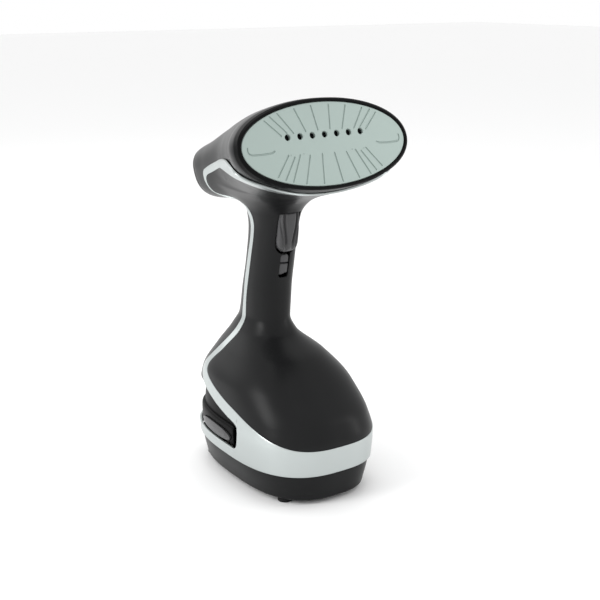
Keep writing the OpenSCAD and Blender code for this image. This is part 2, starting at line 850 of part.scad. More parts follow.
// Where the latch's back face stands at the spring
latch_back = 46.4;
module latch_spring() color("#c8cacb") translate([-latch_back, latch_y, latch_z])
    rotate([0, 90, 0]) coil(1.8, 0.15, 2.1, 3);

module latch_spring_left() latch_spring();

module latch_spring_right() mirror([1, 0, 0]) latch_spring();

flap_half = 15.5;
module filler_flap() color(dark) difference() {
    union() {
        block([-flap_half, flap_half], [flap_y - 0.8, flap_y + 0.8], [flap_low, 69.6]);
        for (s = [[-7.4, 7.4]])
            translate([s[0], flap_y, flap_pin_z]) rotate([0, 90, 0]) cylinder(r = 2, h = s[1] - s[0]);
        block([-7.4, 7.4], [flap_y - 0.8, flap_y + 0.8], [flap_pin_z, flap_low + 1]);
        block([-5, 5], [flap_y, flap_y + 2], [67, 69.6]);
    }
    translate([-20, flap_y, flap_pin_z]) rotate([0, 90, 0]) cylinder(r = 1 + running, h = 40);
}

module flap_seal() color("#a24232") translate([0, flap_y - 2, filler_z]) rotate([-90, 0, 0])
    cylinder(r = filler_r - 0.6, h = 1.2);

module flap_pin() color("#c8cacb") translate([-12, flap_y, flap_pin_z]) rotate([0, 90, 0])
    cylinder(r = 1, h = 24);

head_housing();
bezel_ring();
steam_plate();
plate_gasket();
boiler_body();
heating_element();
thermostat();
thermal_fuse();
heat_shield();
boiler_inlet();
end_cap();
power_button();
steam_button();
indicator_lens();
control_board();
front_shell();
rear_shell();
silver_trim();
switch_bracket();
microswitch();
trigger();
trigger_pin();
trigger_spring();
trigger_lock();
steam_hose();
wire_harness();
lower_base();
base_feet();
base_screws();
tank_tray();
pump_coil();
pump_body();
pump_mounts();
suction_hose();
dock_port();
terminal_block();
cord_gland();
tank_body();
tank_valve();
valve_seal();
latch_left();
latch_right();
latch_spring_left();
latch_spring_right();
filler_flap();
flap_seal();
flap_pin();
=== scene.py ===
"""Looks of the garment steamer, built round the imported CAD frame. Lengths in the tables are mm."""

import json
import math

import bmesh
import bpy
import numpy as np
from mathutils import Matrix, Vector
from mathutils.geometry import delaunay_2d_cdt


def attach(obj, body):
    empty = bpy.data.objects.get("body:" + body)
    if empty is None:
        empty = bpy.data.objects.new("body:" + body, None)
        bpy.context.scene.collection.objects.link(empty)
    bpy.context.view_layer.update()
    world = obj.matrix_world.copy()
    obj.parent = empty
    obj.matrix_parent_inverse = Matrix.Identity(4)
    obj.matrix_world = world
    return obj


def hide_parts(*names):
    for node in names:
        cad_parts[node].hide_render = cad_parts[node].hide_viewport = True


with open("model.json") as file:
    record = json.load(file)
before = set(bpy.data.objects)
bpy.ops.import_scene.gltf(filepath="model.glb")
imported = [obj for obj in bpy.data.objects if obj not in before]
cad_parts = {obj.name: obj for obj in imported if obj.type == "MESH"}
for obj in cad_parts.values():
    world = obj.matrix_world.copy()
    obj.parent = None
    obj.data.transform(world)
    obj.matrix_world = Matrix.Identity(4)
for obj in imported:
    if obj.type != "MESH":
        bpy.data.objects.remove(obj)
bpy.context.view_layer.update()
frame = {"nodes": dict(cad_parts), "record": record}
MM = 0.001

# ---------------------------------------------------------------- outlines of the body and head

# height, front y, rear y, half width, squareness
BODY_ROWS = [
    (3.2, -83, 72, 44.3, 2.7), (25.4, -86, 74, 50, 2.7), (46, -87, 74.2, 51.5, 2.7),
    (60, -83, 73.4, 50.2, 2.65), (80, -64, 66.6, 47.6, 2.6), (100, -41.3, 54.2, 34.8, 2.5),
    (115, -14.5, 44.4, 20.5, 2.4), (128, -8, 35.8, 15.2, 2.45), (150, -8.6, 29.6, 15.6, 2.5),
    (175, -12.8, 23.6, 15.3, 2.5), (200, -18.4, 20.6, 15, 2.5), (213, -21.4, 21.5, 16.8, 2.45),
    (224, -30.4, 30, 22.6, 2.3), (234, -46.5, 44, 32, 2.2), (240, -58, 58, 40, 2.2)]
# distance behind the plate, centre height, half width, half height, squareness
HEAD_ROWS = [
    (0, 272.6, 76.4, 33.4, 2.06), (6, 271, 76.7, 34.3, 2.06), (30, 265.2, 65, 34.6, 2.1),
    (60, 258, 50, 32.6, 2.2), (90, 250, 36.8, 29.4, 2.3), (120, 240.8, 31, 25.2, 2.4),
    (141, 235.2, 27, 22.4, 2.5), (148, 233.9, 20, 16.4, 2.5)]
# the plate leans back, and each further mm of the head leans by HEAD_LEAN degrees more
PLATE_Y, PLATE_Z, PLATE_TILT, HEAD_LEAN, HEAD_LENGTH = -67.0, 272.5, 18.5, 0.04, 148
# how far the flanks stand out, fading in over WING_FADE mm behind WING_START
WING_PROUD, WING_START, WING_FADE = 0.7, -72, 20
NECK_BLEND, NECK_TOP = 9.0, 234
# the sides of the body flare by up to FLARE below FLARE_TOP
FLARE, FLARE_TOP, FLARE_DEPTH = 0.12, 128, 80
# centre and reach of the rays that find the silhouette under the head
FAN_Y, FAN_Z, FAN_REACH, FAN_COUNT = -75, 214, 90.0, 130
BAND_PROUD = 0.35

# Side outlines as (y, z)
SHELL_EDGE = [
    (-95, 45.3), (-87, 45.5), (-78.5, 47), (-69, 49.4), (-55.5, 53.4), (-38.5, 58.9), (-22, 64.1),
    (-3.5, 68.9), (15.5, 75.1), (28, 80.3), (32.6, 84), (32.5, 88), (29, 93), (22.8, 100.2),
    (19.6, 107.3), (17.7, 114), (16.6, 121), (16.1, 130), (14.6, 143), (11.5, 158.4), (7.5, 178),
    (4.3, 193.5), (3.3, 204), (4.6, 211.5), (9.5, 217.3), (18, 221.2), (32, 223.8), (42, 225.6),
    (44.4, 229.3), (45.2, 233.4), (42.8, 238), (29, 243.5), (9, 249.6), (-1, 250.7), (-20, 250.5),
    (-35.5, 249.8), (-45, 249.2), (-56, 248.6), (-62.5, 245.3), (-66, 240.6), (-66.3, 237.2),
    (-65.5, 232.5)]
TRIM_EDGE = [
    (-19.8, 34), (-22.9, 35.6), (-24.7, 38.4), (-26.1, 46), (-25.9, 51.3), (-22.7, 54.2),
    (-8.4, 57.6), (5, 61.1), (17.3, 65.1), (31.6, 70.2), (40.6, 74.7), (44.4, 78.8), (44.7, 84),
    (38, 92), (28.5, 103.9), (24.8, 112.9), (21.9, 121.5), (21.1, 131), (18.4, 146), (16.4, 160),
    (12.6, 177.3), (8.9, 193.2), (8.1, 203.3), (9.2, 209.3), (15, 215), (25, 219), (33, 221.5),
    (38.5, 223.6), (45, 226.3), (47.6, 231.9), (48.6, 237.7), (47.4, 241.5), (41.6, 244.8),
    (23.4, 251.3), (-3.5, 257.9), (-23, 260.6), (-30, 260.9), (-38, 260), (-53, 257),
    (-59.5, 253.4), (-65.7, 249.9), (-69.2, 247), (-69.6, 242), (-67.4, 237.8), (-66.8, 234)]


def table(rows):
    """Monotone cubic through the rows: knots, values and slopes."""
    r = np.array(rows, float)
    x, y = r[:, 0], r[:, 1:]
    d = np.diff(y, axis=0) / np.diff(x)[:, None]
    a, b = d[:-1], d[1:]
    ok = a * b > 0
    m = np.vstack([d[:1], np.where(ok, 2 * a * b / np.where(ok, a + b, 1), 0), d[-1:]])
    return x, y, m


def value(tab, q):
    """Columns of a table at q, held at its ends."""
    x, y, m = tab
    q = np.clip(np.asarray(q, float), x[0], x[-1])
    i = np.clip(np.searchsorted(x, q, side="right") - 1, 0, len(x) - 2)
    h = x[i + 1] - x[i]
    u = ((q - x[i]) / h)[..., None]
    h = h[..., None]
    rise, a, b = y[i + 1] - y[i], m[i] * h, m[i + 1] * h
    return np.moveaxis(y[i] + u * (a + u * (3 * rise - 2 * a - b + u * (a + b - 2 * rise))), -1, 0)


BODY, HEAD = table(BODY_ROWS), table(HEAD_ROWS)


def signed_pow(v, p):
    return np.sign(v) * np.abs(v) ** p


def flare(z):
    return FLARE * np.clip((FLARE_TOP - z) / FLARE_DEPTH, 0, 1)


def body_point(z, angle, grow=0.0):
    """Point of the body's ring at height z; angle 0 is +X, -90 degrees the front."""
    z, angle = np.broadcast_arrays(np.asarray(z, float), np.asarray(angle, float))
    f, r, w, n = value(BODY, z)
    v = signed_pow(np.sin(angle), 2 / n)
    x = (w + grow) * signed_pow(np.cos(angle), 2 / n) * (1 - flare(z) * v)
    return np.stack([x, (f + r) / 2 + v * ((r - f) / 2 + grow), z], -1)


def body_angle(y, z):
    """Ring angle of the body's surface at a side-view point, on the +X side."""
    f, r, _, n = value(BODY, z)
    v = np.clip((y - (f + r) / 2) / ((r - f) / 2), -1, 1)
    return np.arcsin(signed_pow(v, n / 2))


def body_gap(x, y, z):
    """Distance from the body, about, less than 0 inside."""
    f, r, w, n = value(BODY, z)
    mid, deep = (f + r) / 2, (r - f) / 2
    v = (y - mid) / deep
    u = x / (w * (1 - flare(z) * np.clip(v, -1, 1)))
    rho = (np.abs(u) ** n + np.abs(v) ** n) ** (1 / n) + 1e-9
    return (rho - 1) / rho * np.hypot(x, y - mid) + np.clip(z - NECK_TOP, 0, None) * 1.5


def head_point(s, angle):
    """Point of the head's ring s mm behind the plate."""
    s, angle = np.broadcast_arrays(np.asarray(s, float), np.asarray(angle, float))
    mid, w, h, n = value(HEAD, s)
    lean = np.radians(PLATE_TILT + HEAD_LEAN * s)
    v = h * signed_pow(np.sin(angle), 2 / n)
    x = w * signed_pow(np.cos(angle), 2 / n)
    return np.stack([x, PLATE_Y + s + v * np.sin(lean), mid + v * np.cos(lean)], -1)


def head_lean(s):
    return np.radians(PLATE_TILT + HEAD_LEAN * np.clip(s, 0, HEAD_LENGTH))


def head_gap(x, y, z):
    """Distance from the head, about, less than 0 inside."""
    s = y - PLATE_Y
    for _ in range(12):
        mid = value(HEAD, s)[0]
        s = y - PLATE_Y - (z - mid) * np.tan(head_lean(s))
        s = np.clip(s, -20, HEAD_LENGTH + 20)
    mid, w, h, n = value(HEAD, s)
    v = (z - mid) / np.cos(head_lean(s))
    rho = (np.abs(x / w) ** n + np.abs(v / h) ** n) ** (1 / n) + 1e-9
    out = np.maximum(-s, s - HEAD_LENGTH)
    return np.maximum((rho - 1) / rho * np.hypot(x, v), out)


def gap(x, y, z):
    """Smooth union of the body with the head's raised flanks; 0 on the surface."""
    proud = WING_PROUD * np.clip((y - WING_START) / WING_FADE, 0.2, 1)
    a, b = body_gap(x, y, z), head_gap(x, y, z) - proud
    h = np.clip(0.5 + 0.5 * (b - a) / NECK_BLEND, 0, 1)
    return b * (1 - h) + a * h - NECK_BLEND * h * (1 - h)


def solve_x(y, z):
    """Half width of the union at side-view points, 0 outside its silhouette."""
    lo, hi = np.zeros(np.shape(y)), np.full(np.shape(y), 100.0)
    outside = gap(lo, y, z) >= 0
    for _ in range(36):
        mid = (lo + hi) / 2
        inner = gap(mid, y, z) < 0
        lo, hi = np.where(inner, mid, lo), np.where(inner, hi, mid)
    return np.where(outside, 0, (lo + hi) / 2)


def push(p, d):
    """Moves surface points outwards by d mm along the union's normal."""
    e = 0.02
    x, y, z = p[..., 0], p[..., 1], p[..., 2]
    g = np.stack([gap(x + e, y, z) - gap(x - e, y, z), gap(x, y + e, z) - gap(x, y - e, z),
                  gap(x, y, z + e) - gap(x, y, z - e)], -1)
    g[..., 0] = np.where(x < 1e-6, 0, g[..., 0])
    return p + d * g / (np.linalg.norm(g, axis=-1, keepdims=True) + 1e-12)


class Curve:
    """A dense smooth line through side-view points, read by its length."""

    def __init__(self, points, smooth=True, per=16):
        p = np.array(points, float)
        if smooth:
            ext = np.vstack([2 * p[0] - p[1], p, 2 * p[-1] - p[-2]])
            out = []
            for k in range(len(p) - 1):
                p0, p1, p2, p3 = ext[k:k + 4]
                t0 = 0.0
                t1 = t0 + np.linalg.norm(p1 - p0) ** 0.5
                t2 = t1 + np.linalg.norm(p2 - p1) ** 0.5
                t3 = t2 + np.linalg.norm(p3 - p2) ** 0.5
                t = np.linspace(t1, t2, per, endpoint=False)[:, None]
                a1 = (t1 - t) / (t1 - t0) * p0 + (t - t0) / (t1 - t0) * p1
                a2 = (t2 - t) / (t2 - t1) * p1 + (t - t1) / (t2 - t1) * p2
                a3 = (t3 - t) / (t3 - t2) * p2 + (t - t2) / (t3 - t2) * p3
                b1 = (t2 - t) / (t2 - t0) * a1 + (t - t0) / (t2 - t0) * a2
                b2 = (t3 - t) / (t3 - t1) * a2 + (t - t1) / (t3 - t1) * a3
                out.append((t2 - t) / (t2 - t1) * b1 + (t - t1) / (t2 - t1) * b2)
            p = np.vstack(out + [p[-1:]])
        self.p = p
        self.s = np.concatenate([[0], np.cumsum(np.linalg.norm(np.diff(p, axis=0), axis=1))])

    def at(self, s):
        s = np.asarray(s, float)
        return np.stack([np.interp(s, self.s, self.p[:, k]) for k in range(2)], -1)

    def near(self, q):
        """Length at which the line passes nearest to q."""
        s = np.linspace(0, self.s[-1], 6000)
        return float(s[np.argmin(np.linalg.norm(self.at(s) - np.array(q), axis=1))])

    def crossing(self, s0, s1):
        """Length between s0 (outside the silhouette) and s1 (inside) where the line meets it."""
        for _ in range(50):
            mid = (s0 + s1) / 2
            y, z = self.at(mid)
            s0, s1 = (s0, mid) if gap(0.0, y, z) < 0 else (mid, s1)
        return (s0 + s1) / 2


def spaced(keys, ease_in=1.0, ease_out=1.0, step=2.0):
    """Rows of matched lengths between keyed lengths on several lines, about step mm apart.
    The last column of each key row eases in and out at the two ends."""
    keys = np.array(keys, float)
    rows = []
    for k in range(len(keys) - 1):
        a, b = keys[k], keys[k + 1]
        n = max(3, int(math.ceil(np.abs(b - a).max() / step)))
        if (k == 0 and ease_in > 1) or (k == len(keys) - 2 and ease_out > 1):
            n = max(n, 16)
        u = np.arange(n) / n
        w = np.repeat(u[:, None], len(a), 1)
        if k == 0:
            w[:, -1] = u ** ease_in
        if k == len(keys) - 2:
            w[:, -1] = 1 - (1 - u) ** ease_out
        rows.append(a + (b - a) * w)
    return np.vstack(rows + [keys[-1:]])


edge, trim = Curve(SHELL_EDGE), Curve(TRIM_EDGE)
edge_start = edge.crossing(0, edge.near((-69, 49.4)))
edge_end = edge.crossing(edge.s[-1], edge.near((-66, 240.6)))
trim_end = trim.crossing(trim.s[-1], trim.near((-67.4, 237.8)))


def front_outline():
    """The union's front silhouette: up the body, then round the neck to the head's underside."""
    z = np.linspace(40, FAN_Z, 349)
    pts = [np.stack([value(BODY, z)[0], z], -1)]
    fan = np.radians(np.linspace(0.5, 72, FAN_COUNT))
    lo, hi = np.zeros(FAN_COUNT), np.full(FAN_COUNT, FAN_REACH)
    for _ in range(40):
        mid = (lo + hi) / 2
        out = gap(np.zeros(FAN_COUNT), FAN_Y + mid * np.cos(fan), FAN_Z + mid * np.sin(fan)) > 0
        lo, hi = np.where(out, mid, lo), np.where(out, hi, mid)
    pts.append(np.stack([FAN_Y + lo * np.cos(fan), FAN_Z + lo * np.sin(fan)], -1))
    return Curve(np.vstack(pts), smooth=False)


outline = front_outline()

# ---------------------------------------------------------------- mesh helpers

scene = bpy.context.scene
MATERIALS = {}


def add(name, verts, faces, body="root", slot=None, node=None):
    """Makes a piece from points in mm."""
    mesh = bpy.data.meshes.new(name)
    mesh.from_pydata([tuple(c * MM for c in v) for v in verts], [], faces)
    mesh.validate()
    obj = bpy.data.objects.new(name, mesh)
    scene.collection.objects.link(obj)
    for p in mesh.polygons:
        p.use_smooth = True
    if slot:
        mesh.materials.append(MATERIALS[slot])
    if body:
        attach(obj, body)
    for n in ([node] if isinstance(node, str) else node or []):
        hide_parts(n)
    return obj


def clean(obj, merge=0.005):
    """Welds points that coincide and makes the faces point outwards."""
    bm = bmesh.new()
    bm.from_mesh(obj.data)
    bmesh.ops.remove_doubles(bm, verts=bm.verts, dist=merge * MM)
    bmesh.ops.dissolve_degenerate(bm, edges=bm.edges, dist=0.0005 * MM)
    bmesh.ops.recalc_face_normals(bm, faces=bm.faces)
    bm.to_mesh(obj.data)
    bm.free()
    for p in obj.data.polygons:
        p.use_smooth = True
    return obj


def grid_faces(rows, cols, base=0, wrap=False):
    out = []
    for i in range(rows - 1):
        for j in range(cols if wrap else cols - 1):
            k = (j + 1) % cols
            out.append((base + i * cols + j, base + i * cols + k,
                        base + (i + 1) * cols + k, base + (i + 1) * cols + j))
    return out


class Build:
    """Collects grids of points into one mesh."""

    def __init__(self):
        self.v, self.f = [], []

    def grid(self, pts, wrap=False, flip=False):
        r, c = pts.shape[:2]
        faces = grid_faces(r, c, len(self.v), wrap)
        self.f += [f[::-1] for f in faces] if flip else faces
        self.v += [tuple(p) for p in pts.reshape(-1, 3)]
        return self

    def fan(self, ring, centre, flip=False):
        b = len(self.v)
        n = len(ring)
        faces = [(b + i, b + (i + 1) % n, b + n) for i in range(n)]
        self.f += [f[::-1] for f in faces] if flip else faces
        self.v += [tuple(p) for p in ring] + [tuple(centre)]
        return self


def mirrored(pts):
    """Grid from -X to +X for a half grid whose first column lies on x = 0."""
    other = pts[:, :0:-1] * np.array([-1, 1, 1])
    return np.concatenate([other, pts], 1)


def other_side(pts):
    return pts * np.array([-1, 1, 1])


def shell(obj, thickness, bevel):
    """Gives an open skin an inner side and, where bevel is over 0, rounded edges."""
    m = obj.modifiers.new("wall", "SOLIDIFY")
    m.thickness = thickness * MM
    m.offset = -1
    m.use_rim = True
    m.use_even_offset = False
    return rounded(obj, bevel) if bevel else obj


def rounded(obj, width, angle=40, segments=2):
    b = obj.modifiers.new("edges", "BEVEL")
    b.width = width * MM
    b.segments = segments
    b.limit_method = "ANGLE"
    b.angle_limit = math.radians(angle)
    b.use_clamp_overlap = True
    b.harden_normals = False
    return obj


def bake(obj):
    """Turns the modifiers into the mesh."""
    dg = bpy.context.evaluated_depsgraph_get()
    mesh = bpy.data.meshes.new_from_object(obj.evaluated_get(dg))
    obj.modifiers.clear()
    old, obj.data = obj.data, mesh
    mesh.name = old.name
    return obj


def cut(obj, tool, how="DIFFERENCE"):
    m = obj.modifiers.new("cut", "BOOLEAN")
    m.operation = how
    m.solver = "EXACT"
    m.object = tool
    bake(obj)
    bpy.data.objects.remove(tool)
    return obj


def lathe(name, profile, place, body="root", slot=None, node=None, steps=64):
    """Turned piece from (radius, height) points round the Z axis of a placing matrix."""
    a = np.linspace(0, 2 * np.pi, steps, endpoint=False)
    b = Build()
    rows = np.array([[(r * math.cos(t), r * math.sin(t), h) for t in a] for r, h in profile])
    b.grid(rows, wrap=True)
    obj = add(name, [tuple(place @ Vector(p)) for p in b.v], b.f, body, slot, node)
    return clean(obj, 0.001)


def arc(cr, ch, r, a0, a1, n=5):
    """Points of a rounded corner, for a lathe profile."""
    return [(cr + r * math.cos(math.radians(a0 + (a1 - a0) * k / n)),
             ch + r * math.sin(math.radians(a0 + (a1 - a0) * k / n))) for k in range(n + 1)]


def box(name, x, y, z, bevel, **kw):
    """Block between two x, two y and two z values."""
    v = [(a, b, c) for a in x for b in y for c in z]
    f = [(0, 1, 3, 2), (4, 6, 7, 5), (0, 4, 5, 1), (2, 3, 7, 6), (0, 2, 6, 4), (1, 5, 7, 3)]
    obj = add(name, v, f, **kw)
    clean(obj, 0.0001)
    if bevel:
        rounded(obj, bevel, 30, 3)
    return obj


def loop_ids(n, start):
    return [(start + i, start + (i + 1) % n) for i in range(n)]


def panel(loops, holes=()):
    """Flat triangulated panel in (x, y). Each loop is a list of (x, y, height); the first is the
    outer one. Faces inside a hole's loop (given by index) are left out."""
    pts, edges = [], []
    for lp in loops:
        edges += loop_ids(len(lp), len(pts))
        pts += lp
    flat = [Vector(p[:2]) for p in pts]
    outer = list(range(len(loops[0])))
    v, _, f, orig, _, _ = delaunay_2d_cdt(flat, edges, [outer], 1, 1e-5)
    high = [pts[o[0]][2] if o else 0.0 for o in orig]
    polys = [np.array([p[:2] for p in loops[h]]) for h in holes]

    def in_hole(c):
        for poly in polys:
            x, y = poly[:, 0], poly[:, 1]
            x2, y2 = np.roll(x, -1), np.roll(y, -1)
            hit = ((y > c[1]) != (y2 > c[1])) & (c[0] < (x2 - x) * (c[1] - y) / (y2 - y + 1e-15) + x)
            if hit.sum() % 2:
                return True
        return False

    faces = []
    for t in f:
        c = sum((v[i] for i in t), Vector((0, 0))) / len(t)
        if not in_hole(c):
            faces.append(tuple(t))
    return [(p[0], p[1], h) for p, h in zip(v, high)], faces


def prism_faces(n):
    """Faces of a prism whose n points at one end come first, then the n at the other."""
    return [tuple(range(n)), tuple(range(2 * n - 1, n - 1, -1))] + [
        (i, (i + 1) % n, (i + 1) % n + n, i + n) for i in range(n)]


def side_prism(profile, x0, x1):
    """Prism through a (y, z) outline, used to cut."""
    v = [(x0, y, z) for y, z in profile] + [(x1, y, z) for y, z in profile]
    return clean(add("tool", v, prism_faces(len(profile)), body=None), 0.0001)


def turn_x(degrees):
    return Matrix.Rotation(math.radians(degrees), 4, "X")


AT_PLATE = Matrix.Translation((0, PLATE_Y, PLATE_Z)) @ turn_x(90 - PLATE_TILT)
REAR_LEAN = PLATE_TILT + HEAD_LEAN * HEAD_LENGTH
AT_REAR = Matrix.Translation((0, 81, 233.9)) @ turn_x(-90 - REAR_LEAN)
AT_LOCK = Matrix.Translation((0, -12.1, 173)) @ turn_x(10.9)


def moved(points, place):
    return [tuple(place @ Vector(p)) for p in points]


# ---------------------------------------------------------------- materials


def material(name, color, rough, metal=0.0, grain=0.0, grain_size=900.0, spread=0.0,
             coat=0.0, spec=0.5, mottle=0.0):
    """Moulded, painted or metal surface with fine grain, uneven gloss and a little mottling."""
    m = bpy.data.materials.new(name)
    m.use_nodes = True
    nodes, links = m.node_tree.nodes, m.node_tree.links
    bsdf = nodes["Principled BSDF"]
    bsdf.inputs["Metallic"].default_value = metal
    bsdf.inputs["Specular IOR Level"].default_value = spec
    bsdf.inputs["Coat Weight"].default_value = coat
    bsdf.inputs["Coat Roughness"].default_value = 0.12
    coords = nodes.new("ShaderNodeTexCoord")
    cloud = nodes.new("ShaderNodeTexNoise")
    cloud.inputs["Scale"].default_value = 45.0
    cloud.inputs["Detail"].default_value = 4.0
    links.new(coords.outputs["Object"], cloud.inputs["Vector"])
    gloss = nodes.new("ShaderNodeMapRange")
    gloss.inputs["To Min"].default_value = max(rough - spread, 0.02)
    gloss.inputs["To Max"].default_value = min(rough + spread, 1.0)
    links.new(cloud.outputs["Fac"], gloss.inputs["Value"])
    links.new(gloss.outputs["Result"], bsdf.inputs["Roughness"])
    shade = nodes.new("ShaderNodeMix")
    shade.data_type = "RGBA"
    shade.inputs["A"].default_value = (*[c * (1 - mottle) for c in color], 1)
    shade.inputs["B"].default_value = (*[min(c * (1 + mottle), 1) for c in color], 1)
    links.new(cloud.outputs["Fac"], shade.inputs["Factor"])
    links.new(shade.outputs["Result"], bsdf.inputs["Base Color"])
    if grain:
        fine = nodes.new("ShaderNodeTexNoise")
        fine.inputs["Scale"].default_value = grain_size
        fine.inputs["Detail"].default_value = 2.0
        bump = nodes.new("ShaderNodeBump")
        bump.inputs["Strength"].default_value = grain
        bump.inputs["Distance"].default_value = 0.0002
        links.new(coords.outputs["Object"], fine.inputs["Vector"])
        links.new(fine.outputs["Fac"], bump.inputs["Height"])
        links.new(bump.outputs["Normal"], bsdf.inputs["Normal"])
    MATERIALS[name] = m
    return m


material("black_plastic", (0.009, 0.0093, 0.0097), 0.34, grain=0.1,
         spread=0.05, mottle=0.06, spec=0.13)
material("dark_plastic", (0.012, 0.0125, 0.013), 0.34, grain=0.05,
         spread=0.04, mottle=0.06, spec=0.25)
material("bezel_black", (0.003, 0.0032, 0.0034), 0.34, grain=0.05,
         spread=0.04, mottle=0.05, spec=0.06)
material("grey_plastic", (0.05, 0.05, 0.052), 0.32, grain=0.06,
         spread=0.05, mottle=0.06, spec=0.35)
material("silver_trim", (0.46, 0.495, 0.49), 0.34, metal=0.75, grain=0.05, grain_size=1600,
         spread=0.04, mottle=0.02)
material("plate_metal", (0.34, 0.41, 0.385), 0.44, metal=0.4, grain=0.08, grain_size=1300,
         spread=0.05, mottle=0.03)
material("cast_metal", (0.35, 0.36, 0.37), 0.5, metal=0.9, grain=0.3, grain_size=500, mottle=0.05)
material("steel", (0.6, 0.61, 0.62), 0.28, metal=1.0, grain=0.05, spread=0.05)
material("brass", (0.6, 0.42, 0.16), 0.3, metal=1.0, grain=0.05, spread=0.05)
material("ceramic", (0.62, 0.59, 0.52), 0.6, grain=0.15, mottle=0.04)
material("silicone", (0.35, 0.09, 0.06), 0.55, grain=0.1, mottle=0.05)
material("lens", (0.1, 0.35, 0.6), 0.12, coat=0.5, spread=0.02)
material("board", (0.03, 0.14, 0.07), 0.4, spread=0.05, mottle=0.15)
material("hose", (0.6, 0.58, 0.52), 0.4, spread=0.05, mottle=0.04)
material("wire", (0.12, 0.03, 0.03), 0.55, grain=0.3, grain_size=400, mottle=0.1)
material("coil", (0.05, 0.12, 0.25), 0.4, spread=0.05, mottle=0.06)
material("foot_rubber", (0.008, 0.008, 0.0085), 0.7, grain=0.3,
         grain_size=700, mottle=0.1, spec=0.15)
# tank_plastic: near-black and dull, partly the tank's own dark plastic and partly painted shade for the
# deep shadow inside the side windows; the steam-hole discs use it as painted shade too
material("tank_plastic", (0.0012, 0.0013, 0.0014), 0.4, grain=0.03, spread=0.05, spec=0.05)

SLOT_OF = {p["node"]: p["material_slot"] for p in frame["record"]["subparts"]}
for node_name, obj in frame["nodes"].items():
    obj.data.materials.clear()
    obj.data.materials.append(MATERIALS[SLOT_OF[node_name]])

# ---------------------------------------------------------------- shells


def side_rows(starts, ends, cols, power=1.3):
    """Rows across the side view from silhouette points to end points, close together near the
    silhouette, each point put on the union's surface."""
    t = np.linspace(0, 1, cols)
    w = (1 - np.cos(t * np.pi / 2)) ** power
    p = starts[:, None] + (ends - starts)[:, None] * w[None, :, None]
    x = solve_x(p[..., 0], p[..., 1])
    x[:, 0] = 0
    return np.stack([x, p[..., 0], p[..., 1]], -1)


def front_rows():
    """Matched lengths on the front silhouette and on the front shell's edge."""
    up = outline.near
    on = edge.near

    def fan_hit(deg):
        """Length on the outline where the ray from the fan's centre leaves it."""
        a = np.degrees(np.arctan2(outline.p[:, 1] - FAN_Z, outline.p[:, 0] - FAN_Y))
        below = outline.p[:, 1] < FAN_Z - 0.5
        k = np.argmin(np.abs(a - deg) + below * 1e3)
        return outline.s[k]

    def front(z):
        return up((float(value(BODY, z)[0]), z))

    last = up(edge.at(edge_end))
    keys = [(up(edge.at(edge_start)), edge_start), (front(53), on((-55.5, 53.4))),
            (front(62), on((-28, 62.2))), (front(73), on((-3.5, 68.9))), (front(82), on((24, 78.6))),
            (front(88), on((33, 86))), (front(95), on((29, 93))), (front(105), on((21, 104))),
            (front(118), on((17, 118))), (front(138), on((15.3, 138))), (front(167), on((9.7, 167))),
            (front(193.5), on((4.3, 193.5))), (front(206), on((4.2, 210))),
            (front(211), on((18, 221.2))), (fan_hit(1), on((43.6, 229.3))),
            (fan_hit(10), on((43, 237))), (fan_hit(19), on((9, 249.6))),
            (fan_hit(31), on((-35.5, 249.8))), (fan_hit(46), on((-56, 248.6))),
            (fan_hit(58), on((-65.3, 242))), (last, edge_end)]
    return spaced(keys, ease_in=2.7, ease_out=2.1)


rows = front_rows()
half = side_rows(outline.at(rows[:, 0]), edge.at(rows[:, 1]), 52)
half[0], half[-1] = half[0, :1], half[-1, :1]
b = Build().grid(mirrored(half))
front = clean(add("front_shell_skin", b.v, b.f, "root", "black_plastic", "front_shell"))
bake(shell(front, 1.6, 0))


def opening(profile, y0, y1):
    """Prism through an (x, z) outline, used to cut."""
    n = len(profile)
    v = [(x, y0, z) for x, z in profile] + [(x, y1, z) for x, z in profile]
    f = [tuple(range(n)), tuple(range(2 * n - 1, n - 1, -1))]
    f += [(i, i + n, (i + 1) % n + n, (i + 1) % n) for i in range(n)]
    return clean(add("tool", v, f, body=None), 0.0001)


TRIGGER_HALF, TOE_TOP, TOE_TALL, TRIGGER_TOP = 9.4, 193.5, 10.5, 214.9


def trigger_width(z):
    """Half width of the trigger at height z, rounded off at the toe."""
    t = np.clip((TOE_TOP - np.asarray(z, float)) / TOE_TALL, 0, 1)
    return TRIGGER_HALF * (1 - t ** 2.3) ** (1 / 2.3)


def trigger_outline(grow, drop):
    """Opening for the trigger: grow wider all round, and lower at the toe by drop."""
    z = TOE_TOP - TOE_TALL * np.sin(np.linspace(0, np.pi / 2, 22))
    w = trigger_width(z)
    right = list(zip(w, z))
    left = [(-wx, zz) for wx, zz in zip(w[::-1], z[::-1])][1:]
    pts = [(TRIGGER_HALF, TRIGGER_TOP)] + right + left + [(-TRIGGER_HALF, TRIGGER_TOP)]
    out = []
    for x, z in pts:
        gx = math.copysign(grow, x) if abs(x) > 0.2 else 0
        gz = 0 if z > 214 else -grow * min(1, max(0, (196 - z) / 12))
        out.append((x + gx, z + gz - (drop if z < 193 else 0)))
    return out


cut(front, opening(trigger_outline(0.7, 1.0), -60, 2))
slot_pts = [(-4.5, 163.4), (-3.2, 161.9), (3.2, 161.9), (4.5, 163.4), (4.5, 183.2), (-4.5, 183.2)]
cut(front, opening(slot_pts, -60, -2))
clean(front, 0.002)
rounded(front, 0.28, 38, 2)

# silver band and ribbons
BAND_LOW, SPLIT_Z, SPLIT_Y = 25.5, 46.0, -26.1
rise = edge.p[(edge.s >= edge_start) & (edge.s <= edge.near((32.6, 84)))]


def edge_height(angle):
    """Height at which the front shell's edge crosses a column of constant ring angle."""
    z = np.full(np.shape(angle), 55.0)
    for _ in range(60):
        z = 0.5 * z + 0.5 * np.interp(body_point(z, angle)[..., 1], rise[:, 0], rise[:, 1])
    return z


